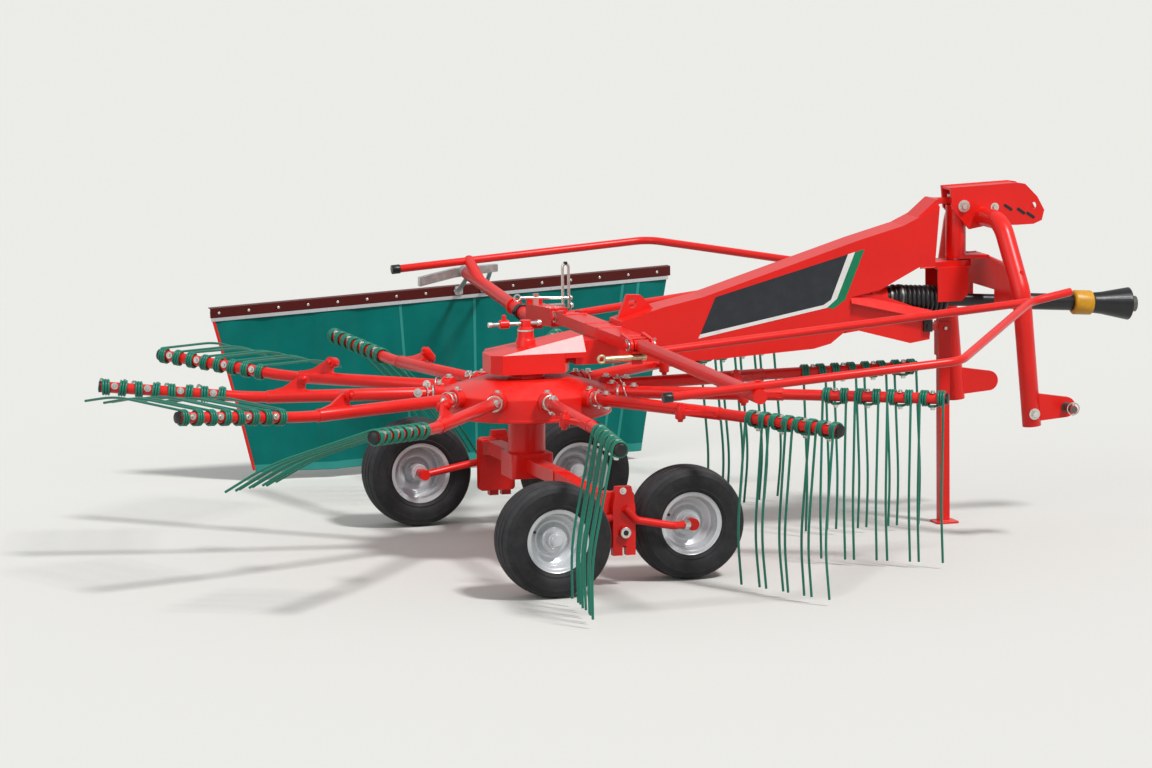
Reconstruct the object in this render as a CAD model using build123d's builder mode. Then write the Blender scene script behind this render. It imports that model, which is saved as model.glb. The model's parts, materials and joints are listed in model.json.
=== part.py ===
from build123d import *
from math import cos, degrees, radians, sin, tan
import os

os.makedirs("parts", exist_ok=True)

# Frame: +X forward to the hitch, +Y left, +Z up, millimetres, ground at Z = 0.
# The rotor axis stands here, from the middle of the rake's outline.
ROTOR_X = -380.0
ROTOR_Y = -209.0

# Clearances
FIT = 0.05
SEAT = 0.3
SIDE_PLAY = 2.0

# Wheels, 16 x 6.50 - 8
TYRE_R = 205.5
TYRE_W = 163.0
TYRE_SHOULDER_DROP = 10.0
SEAT_R = 101.3
RIM_FLANGE_R = 114.0
RIM_FLANGE_T = 4.0
RIM_W = 132.0
RIM_WALL = 4.0
HUB_R = 31.0
HUB_HALF = 48.0
HUB_CAP_T = 8.0
AXLE_R = 14.0

# Running gear: places of the wheel centres from the rotor axis
REAR_WHEEL_X = -175.0
REAR_WHEEL_Y = 850.0
FRONT_WHEEL_X = 392.0
FRONT_WHEEL_Y = 650.0
WHEEL_ARM_R = 14.0
WHEEL_ARM_CLEARANCE = 9.0
FRONT_ARM_OUT = 22.0
UNIT_X = 122.0
UNIT_W = 84.0
UNIT_TOP_W = 56.0
UNIT_SHOULDER = 290.0
UNIT_T = 30.0
UNIT_LOW = 114.0
UNIT_HIGH = 362.0
UNIT_NOTCH_W = 14.0
UNIT_NOTCH_H = 34.0
INNER_BOX_X = 100.0
INNER_BOX_W = 140.0
INNER_BOX_LOW = 138.0
INNER_BOX_HIGH = 340.0
INNER_BOX_T = 34.0
ROCKER_PIVOT_Z = 198.0
ROCKER_PIVOT_R = 20.0

# Column and axle beam
COLUMN_R = 68.5
COLUMN_LOW = 300.0
BEAM_W = 56.0
BEAM_H = 50.0
BEAM_Z = 350.0
BEAM_KNEE_Y = 400.0
BEAM_KNEE_X = 0.0
BEAM_END_X = 64.0
BEAM_END_Y = 680.0
BEAM_END_Z = 302.0
FOOT_LENGTH = 160.0
FOOT_WIDTH = 160.0
FOOT_H = 90.0

# Rotor
ARM_COUNT = 11
FIRST_ARM_DEG = -28.13
ARM_Z = 615.0
BELL_R = 310.0
BELL_WALL = 8.0
BELL_LOW = 536.0
BELL_EDGE = 622.0
BELL_TOP = 668.0
BELL_TOP_R = 172.0
BELL_HUB_WALL = 22.0
SOCKET_R = 33.0
SOCKET_OUT = 30.0
ARM_R = 23.0
ARM_BEND = 1000.0
ARM_CRANK_DEG = 5.5
TINE_BAR_R = 20.2
TIP_R = 1560.0
ARM_BEND_R = 1900.0
SPUR_IN = 815.0
SPUR_BASE = 950.0
SPUR_RISE = 62.0
SPUR_T = 16.0
SPUR_BOSS_R = 19.0
SPUR_BOSS_L = 44.0
SPUR_BORE_R = 8.0
# How far each arm is rolled from tines down, towards the trailing side, in degrees, from the first arm on
ARM_ROLL_DEG = [0, 0, 0, 0, 40, 80, 77, 85, 65, 5, 0]

# Double tines
COIL_COUNT = 8
COIL_FIRST = 118.0
COIL_PITCH = 60.0
COIL_W = 36.0
COIL_R = 31.0
COIL_SIDES = 8
WIRE = 9.5
TINE_DROP = 592.0
TINE_KNEE = 400.0
TINE_LEAN = 42.0
TINE_TOE = 20.0

# Gear housing on top of the bell: an eight-sided drum, a roof that rises over a neck, and a head under the cross beam
GEAR_REAR_X = 150.0
GEAR_REAR_HALF = 50.0
GEAR_CORNER_X = 122.0
GEAR_CORNER_HALF = 108.0
GEAR_WIDE_X = 112.0
GEAR_WIDE_HALF = 122.0
GEAR_LOW = 690.0
GEAR_WALL_H = 72.0
CROSS_RISE = 38.0
ROOF_RISE = 58.0
ROOF_HALF = 72.0
NECK_X = 196.0
NECK_HALF = 112.0
NECK_LOW = 52.0
GEAR_FRONT_X = 338.0
HEAD_HALF = 84.0
HEAD_LOW = 22.0
CAP_R = 31.0
CAP_H = 114.0
CRANK_ROD_R = 7.0
CRANK_DROP = 12.0
CRANK_REAR = 140.0
CRANK_FRONT = 56.0

# Cross beam that carries the guards
CROSS_X = 300.0
CROSS_W = 96.0
CROSS_H = 42.0
CROSS_HALF = 396.0
HINGE_Y = 432.0
HINGE_DROP = 22.0
HINGE_PIN_R = 10.0
HINGE_BARREL_R = 20.0
HINGE_BARREL_L = 56.0
HINGE_EAR_T = 12.0
HINGE_GAP = 6.0

# Guards
GUARD_TUBE_R = 15.0
GUARD_ARM_R = 25.0
RAIL_Y = 1690.0
RAIL_BEND_X = 1045.0
RAIL_RISE_DEG = 3.8
CAP_LENGTH = 34.0
JUNCTION_X = 1622.0
JUNCTION_Y = 900.0
TIP_X = 1790.0
TIP_Y = 875.0
TIP_RISE = 26.0
RISER_Y = 1520.0
INNER_TUBE_Y = 590.0
BOX_ARM_IN = 530.0
BOX_ARM_OUT = 830.0
BOX_ARM_W = 66.0
BOX_ARM_H = 70.0
CLAMP_T = 30.0
CLAMP_W = 56.0
CLAMP_H = 122.0
FLANGE_Y = 1090.0
FLANGE_R = 33.0
FLANGE_T = 16.0

# Boom
BOOM_HALF = 70.0
BOOM_PLATE = 6.0
BOOM_FRONT_X = 1600.0
EAR_ROOT_X = 1540.0
LUG_X = 410.0
LUG_Z = 918.0
LUG_HOLE_R = 16.0
FORK_HALF = 58.0
FORK_FLOOR = 7.0
LIP_W = 44.0
LIP_T = 6.0
LIP_TILT_DEG = 50.0

# Headstock pivot
PIVOT_X = 1690.0
PIVOT_PIN_R = 20.0
PIVOT_SLEEVE_R = 38.0
PIVOT_LOW_EAR = 1000.0
PIVOT_HIGH_EAR = 1234.0
PIVOT_EAR_T = 22.0
PIVOT_GAP = 5.0
PIVOT_NECK_HALF = 16.0
HIGH_EAR_R = 34.0
GUSSET_T = 12.0
SHIELD_REAR_X = 1593.0
SHIELD_FRONT_X = 1712.0
SHIELD_HALF = 66.0
SHIELD_T = 6.0
SHIELD_LOW = 872.0

# Headstock
ARCH_R = 35.0
ARCH_HALF = 384.0
ARCH_FOOT_X = 1840.0
ARCH_FOOT_Z = 436.0
ARCH_CROWN_X = 1778.0
ARCH_CROWN_Z = 1185.0
HITCH_PLATE_T = 12.0
HITCH_PLATE_GAP = 80.0
LINK_PIN_R = 14.25
LINK_PIN_LENGTH = 80.0
LINK_PIN_X = 1972.0
LINK_PIN_Z = 500.0
LINK_LUG_R = 38.0
LINK_LUG_T = 20.0
TOP_HOLE_R = 12.85
TOP_HOLE_X = 1985.0
TOP_HOLE_Z = 1216.0
CROSS_PLATE_T = 12.0

# Drive shaft
SHAFT_Z = 888.0
SHAFT_SLOPE_DEG = 4.0
STUB_REAR_X = 1366.0
STUB_R = 40.0
BELLOWS_REAR_X = 1427.0
BELLOWS_FRONT_X = 1643.0
BELLOWS_R = 52.0
BELLOWS_RIBS = 12
BELLOWS_GROOVE = 6.0
INNER_TUBE_R = 24.0
OUTER_TUBE_X = 1900.0
SHAFT_TUBE_R = 31.0
COLLAR_X = 2160.0
COLLAR_LENGTH = 78.0
COLLAR_R = 46.0
CONE_LENGTH = 150.0
CONE_R = 62.0
YOKE_R = 30.0
YOKE_BORE_R = 17.5
YOKE_LENGTH = 70.0

# Parking leg
LEG_X = 1700.0
LEG_Y = 160.0
LEG_W = 40.0
LEG_TOP = 790.0
LEG_SLEEVE_LOW = 640.0
LEG_SLEEVE_HIGH = 770.0
LEG_SLEEVE_WALL = 5.0
LEG_PLAY = 0.5
LEG_BRACKET_X = 1560.0
LEG_BRACKET_Z = 740.0
LEG_BRACKET_H = 26.0
LEG_FOOT_W = 90.0
LEG_FOOT_T = 8.0

# Curtain
CURTAIN_Y = 2100.0
CURTAIN_REAR_X = -648.0
CURTAIN_FRONT_X = 1276.0
CURTAIN_TOP_REAR_Z = 704.0
CURTAIN_RISE_DEG = 2.4
CURTAIN_BAR_H = 40.0
CURTAIN_BAR_T = 4.0
CURTAIN_FLANGE = 32.0
CLOTH_T = 6.0
CLOTH_LOW = 34.0
CLOTH_REAR_SLANT = 0.26
CLOTH_FRONT_SLANT = 0.17
SLIDE_TUBE_R = 20.0
SLIDE_TUBE_IN = 1180.0
HANGER_R = 9.0
HANGER_PLATE = 34.0


def at(x, y, z):
    """A point given from the rotor axis at ground level."""
    return Vector(ROTOR_X + x, ROTOR_Y + y, z)


def side_plane(y):
    """Local x forward and local y up, drawn towards the right side."""
    return Plane(origin=at(0, y, 0), x_dir=(1, 0, 0), z_dir=(0, -1, 0))


def cross_plane(x):
    """Local x to the left and local y up, drawn towards the front."""
    return Plane(origin=at(x, 0, 0), x_dir=(0, 1, 0), z_dir=(1, 0, 0))


def level_plane(z):
    """Local x forward and local y to the left, drawn upwards."""
    return Plane(origin=at(0, 0, z))


def rod(start, end, radius):
    """A straight round bar from one point to another."""
    with BuildSketch(Plane(origin=start, z_dir=end - start)) as section:
        Circle(radius)
    extrude(section.sketch, amount=(end - start).length)


def bar(start, end, width, height):
    """A straight rectangular bar whose width stays level."""
    along = end - start
    level = Vector(0, 0, 1).cross(along)
    with BuildSketch(Plane(origin=start, x_dir=level, z_dir=along)) as section:
        Rectangle(width, height)
    extrude(section.sketch, amount=along.length)


def bent_tube(points, radius, bend):
    """A round bar bent at each inner point."""
    with BuildLine() as route:
        FilletPolyline(*points, radius=bend)
    with BuildSketch(Plane(origin=route.line @ 0, z_dir=route.line % 0)) as section:
        Circle(radius)
    sweep(section.sketch, path=route.line)


# Line of the drive shaft, sloping down towards the front
shaft_rear = at(BELLOWS_REAR_X, 0, SHAFT_Z)
slope = radians(SHAFT_SLOPE_DEG)
shaft_way = Vector(cos(slope), 0, -sin(slope))


def on_shaft(x):
    """A point on the drive shaft's line at a distance forward of the rotor axis."""
    return shaft_rear + shaft_way * ((x - BELLOWS_REAR_X) / cos(slope))


# Wheels: the axle enters each hub from the side where its arm runs, and a cap closes the other end
# Columns: name, wheel centre x, wheel centre y, side the axle comes from (+1 from the left, -1 from the right)
WHEELS = [
    ("rear_left", REAR_WHEEL_X, REAR_WHEEL_Y, -1),
    ("rear_right", REAR_WHEEL_X, -REAR_WHEEL_Y, 1),
    ("front_left", FRONT_WHEEL_X, FRONT_WHEEL_Y, 1),
    ("front_right", FRONT_WHEEL_X, -FRONT_WHEEL_Y, -1),
]
for wheel, x, y, axle_side in WHEELS:
    spin = Axis(at(x, y, TYRE_R), (0, 1, 0))
    outward = 1 if y > 0 else -1
    # Local x runs out of the machine and local y away from the axle
    section = Plane(origin=at(x, y, TYRE_R), x_dir=(0, outward, 0), z_dir=(outward, 0, 0))
    bead = RIM_W / 2 - RIM_FLANGE_T - SEAT

    with BuildPart() as tyre:
        with BuildSketch(section):
            with BuildLine():
                Polyline(
                    (-bead, RIM_FLANGE_R),
                    (-bead, SEAT_R + SEAT),
                    (bead, SEAT_R + SEAT),
                    (bead, RIM_FLANGE_R),
                )
                ThreePointArc(
                    (bead, RIM_FLANGE_R),
                    (TYRE_W / 2, (TYRE_R + RIM_FLANGE_R) / 2 - 4),
                    (TYRE_W / 2 - 14, TYRE_R - TYRE_SHOULDER_DROP),
                )
                ThreePointArc(
                    (TYRE_W / 2 - 14, TYRE_R - TYRE_SHOULDER_DROP),
                    (0, TYRE_R),
                    (14 - TYRE_W / 2, TYRE_R - TYRE_SHOULDER_DROP),
                )
                ThreePointArc(
                    (14 - TYRE_W / 2, TYRE_R - TYRE_SHOULDER_DROP),
                    (-TYRE_W / 2, (TYRE_R + RIM_FLANGE_R) / 2 - 4),
                    (-bead, RIM_FLANGE_R),
                )
            make_face()
        revolve(axis=spin)
    tyre.part.label = f"tyre_{wheel}"
    export_step(tyre.part, f"parts/tyre_{wheel}.step")

    with BuildPart() as rim:
        with BuildSketch(section):
            with Locations((0, SEAT_R - RIM_WALL / 2)):
                Rectangle(RIM_W, RIM_WALL)
            for end in (-1, 1):
                with Locations((end * (RIM_W - RIM_FLANGE_T) / 2, (SEAT_R - RIM_WALL + RIM_FLANGE_R) / 2)):
                    Rectangle(RIM_FLANGE_T, RIM_FLANGE_R - SEAT_R + RIM_WALL)
            # Pressed disc, stepped in from the rim and out again to the hub
            Polygon(
                (24, SEAT_R - 2),
                (19, SEAT_R - 2),
                (2, 62),
                (22, 45),
                (22, HUB_R - 2),
                (26, HUB_R - 2),
                (26, 47),
                (7, 62),
                align=None,
            )
            with Locations((0, (HUB_R + AXLE_R + FIT) / 2)):
                Rectangle(2 * HUB_HALF, HUB_R - AXLE_R - FIT)
            cap_side = -axle_side * outward
            with Locations((cap_side * (HUB_HALF + HUB_CAP_T / 2 - 1), (HUB_R - 4) / 2)):
                Rectangle(HUB_CAP_T + 2, HUB_R - 4)
        revolve(axis=spin)
    rim.part.label = f"rim_{wheel}"
    export_step(rim.part, f"parts/rim_{wheel}.step")


# Tandem units: each carries a front wheel and a rear wheel on a rocker beside the axle beam
# Columns: name, side
for side_name, side in [("left", 1), ("right", -1)]:
    rear_arm_y = side * (REAR_WHEEL_Y - TYRE_W / 2 - WHEEL_ARM_CLEARANCE - WHEEL_ARM_R)
    front_arm_y = side * (FRONT_WHEEL_Y + TYRE_W / 2 + FRONT_ARM_OUT + WHEEL_ARM_R)
    front_boss_y = side * (FRONT_WHEEL_Y + HUB_HALF + 23)
    with BuildPart() as tandem:
        # Upright between the two wheels, forked at its foot, and the box behind it where the axle beam ends
        with BuildSketch(side_plane(rear_arm_y + UNIT_T / 2)):
            Polygon(
                (UNIT_X - UNIT_TOP_W / 2, UNIT_HIGH),
                (UNIT_X - UNIT_W / 2, UNIT_SHOULDER),
                (UNIT_X - UNIT_W / 2, UNIT_LOW),
                (UNIT_X - UNIT_NOTCH_W / 2, UNIT_LOW),
                (UNIT_X - UNIT_NOTCH_W / 2, UNIT_LOW + UNIT_NOTCH_H),
                (UNIT_X + UNIT_NOTCH_W / 2, UNIT_LOW + UNIT_NOTCH_H),
                (UNIT_X + UNIT_NOTCH_W / 2, UNIT_LOW),
                (UNIT_X + UNIT_W / 2, UNIT_LOW),
                (UNIT_X + UNIT_W / 2, UNIT_SHOULDER),
                (UNIT_X + UNIT_TOP_W / 2, UNIT_HIGH),
                align=None,
            )
        extrude(amount=UNIT_T)
        with BuildSketch(side_plane(rear_arm_y - side * UNIT_T / 2)):
            with Locations((INNER_BOX_X, (INNER_BOX_LOW + INNER_BOX_HIGH) / 2)):
                RectangleRounded(INNER_BOX_W, INNER_BOX_HIGH - INNER_BOX_LOW, 14)
        extrude(amount=side * INNER_BOX_T)
        # Rocker pivot
        rod(at(UNIT_X, rear_arm_y - side * UNIT_T, ROCKER_PIVOT_Z),
            at(UNIT_X, rear_arm_y + side * UNIT_T, ROCKER_PIVOT_Z), ROCKER_PIVOT_R)
        # Rear arm on the inner side of its wheel, and its axle
        rod(at(UNIT_X, rear_arm_y, ROCKER_PIVOT_Z + 60), at(REAR_WHEEL_X, rear_arm_y, TYRE_R), WHEEL_ARM_R)
        rod(at(REAR_WHEEL_X, rear_arm_y - side * (WHEEL_ARM_R + 4), TYRE_R),
            at(REAR_WHEEL_X, rear_arm_y + side * (WHEEL_ARM_R + 2), TYRE_R), WHEEL_ARM_R + 6)
        rod(at(REAR_WHEEL_X, rear_arm_y, TYRE_R),
            at(REAR_WHEEL_X, side * (REAR_WHEEL_Y + HUB_HALF - SIDE_PLAY - 1), TYRE_R), AXLE_R)
        # Front arm: down past the outer side of its tyre and in to the hub, and its axle
        bent_tube(
            [
                at(UNIT_X, front_arm_y, UNIT_SHOULDER - 4),
                at(UNIT_X + 44, front_arm_y, TYRE_R + 34),
                at(FRONT_WHEEL_X - 88, front_arm_y, TYRE_R + 6),
                at(FRONT_WHEEL_X, front_boss_y, TYRE_R),
            ],
            WHEEL_ARM_R,
            30,
        )
        rod(at(FRONT_WHEEL_X, front_boss_y + side * 15, TYRE_R),
            at(FRONT_WHEEL_X, front_boss_y - side * 15, TYRE_R), WHEEL_ARM_R + 8)
        rod(at(FRONT_WHEEL_X, front_boss_y, TYRE_R),
            at(FRONT_WHEEL_X, side * (FRONT_WHEEL_Y - HUB_HALF + SIDE_PLAY + 1), TYRE_R), AXLE_R)
    tandem.part.label = f"tandem_{side_name}"
    export_step(tandem.part, f"parts/tandem_{side_name}.step")


# Column up through the bell
with BuildPart() as column:
    rod(at(0, 0, COLUMN_LOW), at(0, 0, GEAR_LOW), COLUMN_R)
column.part.label = "column"
export_step(column.part, "parts/column.step")

# Axle beam: a foot around the column and two cranked beams out to the rockers
with BuildPart() as axle_beam:
    with BuildSketch(level_plane(COLUMN_LOW)):
        RectangleRounded(FOOT_LENGTH, FOOT_WIDTH, 20)
    extrude(amount=FOOT_H)
    for side in (1, -1):
        inner_face = REAR_WHEEL_Y - TYRE_W / 2 - WHEEL_ARM_CLEARANCE - WHEEL_ARM_R - UNIT_T / 2 - INNER_BOX_T
        bar(at(BEAM_KNEE_X, 0, BEAM_Z), at(BEAM_KNEE_X, side * BEAM_KNEE_Y, BEAM_Z), BEAM_W, BEAM_H)
        bar(at(BEAM_KNEE_X, side * (BEAM_KNEE_Y - 20), BEAM_Z),
            at(BEAM_END_X, side * BEAM_END_Y, BEAM_END_Z), BEAM_W, BEAM_H)
        with BuildSketch(side_plane(side * inner_face)):
            with Locations((BEAM_END_X, BEAM_END_Z)):
                RectangleRounded(BEAM_W + 10, BEAM_H + 22, 8)
        extrude(amount=side * (inner_face - BEAM_END_Y + 14))
    with Locations(at(0, 0, COLUMN_LOW)):
        Cylinder(COLUMN_R, FOOT_H, align=(Align.CENTER, Align.CENTER, Align.MIN), mode=Mode.SUBTRACT)
axle_beam.part.label = "axle_beam"
export_step(axle_beam.part, "parts/axle_beam.step")


# Bell: a flat drum with a shallow cone, turning on the column
arm_directions = [radians(FIRST_ARM_DEG + 360 / ARM_COUNT * k) for k in range(ARM_COUNT)]
with BuildPart() as bell:
    with BuildSketch(side_plane(0)):
        Polygon(
            (COLUMN_R + FIT, BELL_LOW),
            (BELL_R, BELL_LOW),
            (BELL_R, BELL_EDGE),
            (BELL_TOP_R, BELL_TOP),
            (COLUMN_R + FIT, BELL_TOP),
            align=None,
        )
    revolve(axis=Axis(at(0, 0, 0), (0, 0, 1)))
    with BuildSketch(side_plane(0)):
        Polygon(
            (COLUMN_R + FIT + BELL_HUB_WALL, BELL_LOW + BELL_WALL),
            (BELL_R - BELL_WALL, BELL_LOW + BELL_WALL),
            (BELL_R - BELL_WALL, BELL_EDGE - BELL_WALL / 2),
            (BELL_TOP_R - BELL_WALL / 2, BELL_TOP - BELL_WALL),
            (COLUMN_R + FIT + BELL_HUB_WALL, BELL_TOP - BELL_WALL),
            align=None,
        )
    revolve(axis=Axis(at(0, 0, 0), (0, 0, 1)), mode=Mode.SUBTRACT)
    for turn in arm_directions:
        outward = Vector(cos(turn), sin(turn), 0)
        rod(at(0, 0, ARM_Z) + outward * (BELL_R - BELL_WALL), at(0, 0, ARM_Z) + outward * (BELL_R + SOCKET_OUT),
            SOCKET_R)
    for turn in arm_directions:
        outward = Vector(cos(turn), sin(turn), 0)
        with BuildSketch(Plane(origin=at(0, 0, ARM_Z) + outward * (BELL_R - 2 * BELL_WALL), z_dir=outward)):
            Circle(ARM_R)
        extrude(amount=SOCKET_OUT + 3 * BELL_WALL, mode=Mode.SUBTRACT)
bell.part.label = "rotor_bell"
export_step(bell.part, "parts/rotor_bell.step")


# One tine arm, drawn along local +X with its tines down, the trailing side towards local -Y
crank = radians(ARM_CRANK_DEG)
crank_direction = Vector(cos(crank), -sin(crank), 0)
crank_square = Vector(sin(crank), cos(crank), 0)
arm_knee = Vector(ARM_BEND, 0, 0)
bar_length = (TIP_R - ARM_BEND) / cos(crank)
with BuildPart() as arm_form:
    rod(Vector(BELL_R - BELL_WALL, 0, 0), Vector(SPUR_BASE, 0, 0), ARM_R)
    bent_tube([Vector(SPUR_IN, 0, 0), arm_knee, arm_knee + crank_direction * bar_length], TINE_BAR_R, ARM_BEND_R)
    # Spur that stands off the trailing side, with an eye at its end
    with BuildSketch(Plane.XY.offset(-SPUR_T / 2)):
        Polygon(
            (SPUR_BASE, 0),
            (SPUR_BASE, -ARM_R + 4),
            (SPUR_BASE - 60, -ARM_R - 12),
            (SPUR_IN + SPUR_BOSS_R, -SPUR_RISE - SPUR_BOSS_R / 2),
            (SPUR_IN - SPUR_BOSS_R / 2, -SPUR_RISE),
            (SPUR_IN - 4, -ARM_R - 6),
            (SPUR_IN - 20, 0),
            align=None,
        )
    extrude(amount=SPUR_T)
    rod(Vector(SPUR_IN, -SPUR_RISE, -SPUR_BOSS_L / 2), Vector(SPUR_IN, -SPUR_RISE, SPUR_BOSS_L / 2), SPUR_BOSS_R)
    with BuildSketch(Plane.XY.offset(-SPUR_BOSS_L)):
        with Locations((SPUR_IN, -SPUR_RISE)):
            Circle(SPUR_BORE_R)
    extrude(amount=2 * SPUR_BOSS_L, mode=Mode.SUBTRACT)

# The double tines of one arm, each coil round the bar and each leg hanging from its trailing side
with BuildPart() as tine_form:
    for number in range(COIL_COUNT):
        middle = arm_knee + crank_direction * (COIL_FIRST + number * COIL_PITCH)
        start = middle - crank_direction * (COIL_W / 2)
        with BuildSketch(Plane(origin=start, z_dir=crank_direction)):
            RegularPolygon(COIL_R, COIL_SIDES)
            Circle(TINE_BAR_R + SEAT, mode=Mode.SUBTRACT)
        extrude(amount=COIL_W)
        side_step = (COIL_W - WIRE) / 2 * (1 if number % 2 else -1) - WIRE / 2
        root = middle + crank_direction * side_step - crank_square * (TINE_BAR_R + 2 * SEAT + WIRE / 2)
        with BuildSketch(Plane(origin=root, x_dir=crank_square, z_dir=crank_direction)):
            Polygon(
                (-WIRE / 2, 0),
                (-WIRE / 2 - TINE_LEAN, -TINE_KNEE),
                (-WIRE / 2 - TINE_LEAN + TINE_TOE, -TINE_DROP),
                (WIRE / 2 - TINE_LEAN + TINE_TOE, -TINE_DROP),
                (WIRE / 2 - TINE_LEAN, -TINE_KNEE),
                (WIRE / 2, 0),
                align=None,
            )
        extrude(amount=WIRE)

for number, (turn, roll) in enumerate(zip(arm_directions, ARM_ROLL_DEG), start=1):
    place = Location(at(0, 0, ARM_Z)) * Location((0, 0, 0), (0, 0, 1), degrees(turn))
    place = place * Location((0, 0, 0), (1, 0, 0), -roll)
    with BuildPart() as arm:
        add(arm_form.part.moved(place))
    arm.part.label = f"tine_arm_{number:02d}"
    export_step(arm.part, f"parts/tine_arm_{number:02d}.step")
    with BuildPart() as tines:
        add(tine_form.part.moved(place))
    tines.part.label = f"double_tines_{number:02d}"
    export_step(tines.part, f"parts/double_tines_{number:02d}.step")


# Gear housing: a drum over the bell, a neck and a head drawn forward to the boom, and a cap
gear_top = GEAR_LOW + GEAR_WALL_H
cross_low = gear_top + CROSS_RISE
cross_top = cross_low + CROSS_H
cap_top = gear_top + CAP_H
crank_z = cap_top - CRANK_DROP
with BuildPart() as gear_housing:
    with BuildSketch(level_plane(GEAR_LOW + NECK_LOW)):
        Polygon((-GEAR_CORNER_X, GEAR_CORNER_HALF), (-GEAR_CORNER_X, -GEAR_CORNER_HALF), (NECK_X, -NECK_HALF),
                (NECK_X, NECK_HALF), align=None)
    extrude(amount=GEAR_WALL_H + ROOF_RISE - NECK_LOW)
    # Side panels of the roof lean in from the wall's top edge, more and more towards the boom
    for side in (1, -1):
        rear_corner = at(-GEAR_CORNER_X, side * GEAR_CORNER_HALF, gear_top)
        low_corner = at(NECK_X, side * NECK_HALF, gear_top)
        lean = at(NECK_X, side * ROOF_HALF, gear_top + ROOF_RISE) - rear_corner
        outward = lean.cross(low_corner - rear_corner) * side
        with BuildSketch(Plane(origin=rear_corner, x_dir=low_corner - rear_corner, z_dir=outward)):
            Rectangle(4 * NECK_X, 4 * NECK_X)
        extrude(amount=NECK_X, mode=Mode.SUBTRACT)
    with BuildSketch(level_plane(GEAR_LOW)):
        Polygon((-GEAR_REAR_X, GEAR_REAR_HALF), (-GEAR_CORNER_X, GEAR_CORNER_HALF), (GEAR_WIDE_X, GEAR_WIDE_HALF),
                (GEAR_REAR_X, GEAR_REAR_HALF), (GEAR_REAR_X, -GEAR_REAR_HALF), (GEAR_WIDE_X, -GEAR_WIDE_HALF),
                (-GEAR_CORNER_X, -GEAR_CORNER_HALF), (-GEAR_REAR_X, -GEAR_REAR_HALF), align=None)
    extrude(amount=GEAR_WALL_H)
    # Roof panel that rises towards the boom
    roof_slope = ROOF_RISE / (NECK_X + GEAR_CORNER_X)
    with BuildSketch(side_plane(2 * NECK_HALF)):
        Polygon((-2 * GEAR_REAR_X, gear_top - (2 * GEAR_REAR_X - GEAR_CORNER_X) * roof_slope),
                (2 * NECK_X, gear_top + (2 * NECK_X + GEAR_CORNER_X) * roof_slope),
                (-2 * GEAR_REAR_X, gear_top + (2 * NECK_X + GEAR_CORNER_X) * roof_slope), align=None)
    extrude(amount=4 * NECK_HALF, mode=Mode.SUBTRACT)
    with BuildSketch(level_plane(GEAR_LOW + HEAD_LOW)):
        Polygon((NECK_X - 30, HEAD_HALF), (NECK_X - 30, -HEAD_HALF), (GEAR_FRONT_X, -HEAD_HALF),
                (GEAR_FRONT_X, HEAD_HALF), align=None)
    extrude(amount=cross_low - GEAR_LOW - HEAD_LOW)
    with BuildSketch(side_plane(0)):
        Polygon(
            (0, gear_top),
            (CAP_R + 5, gear_top),
            (CAP_R + 5, gear_top + 40),
            (CAP_R, gear_top + 48),
            (CAP_R - 3, cap_top - 30),
            (CAP_R - 11, cap_top - 24),
            (CAP_R - 11, cap_top),
            (0, cap_top),
            align=None,
        )
    revolve(axis=Axis(at(0, 0, 0), (0, 0, 1)))
    with BuildSketch(cross_plane(-2 * CAP_R)):
        with Locations((0, crank_z)):
            Circle(CRANK_ROD_R + FIT)
    extrude(amount=4 * CAP_R, mode=Mode.SUBTRACT)
gear_housing.part.label = "gear_housing"
export_step(gear_housing.part, "parts/gear_housing.step")

# Height crank: a rod through the cap
with BuildPart() as height_crank:
    rod(at(-CRANK_REAR, 0, crank_z), at(CRANK_FRONT, 0, crank_z), CRANK_ROD_R)
height_crank.part.label = "height_crank"
export_step(height_crank.part, "parts/height_crank.step")


# Boom: side outline from the gear housing to the headstock pivot, as a box girder
cross_front = CROSS_X + CROSS_W / 2
BOOM_OUTLINE = [
    (GEAR_FRONT_X, GEAR_LOW + HEAD_LOW),
    (666, 700),
    (1098, 722),
    (1165, 738),
    (1235, 790),
    (1250, 908),
    (1361, 929),
    (1520, 1008),
    (BOOM_FRONT_X - 20, 1008),
    (BOOM_FRONT_X, 1232),
    (1457, 1166),
    (1274, 1118),
    (668, 937),
    (512, 906),
    (cross_front, cross_top + 18),
    (cross_front, cross_low),
    (GEAR_FRONT_X, cross_low),
]
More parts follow.
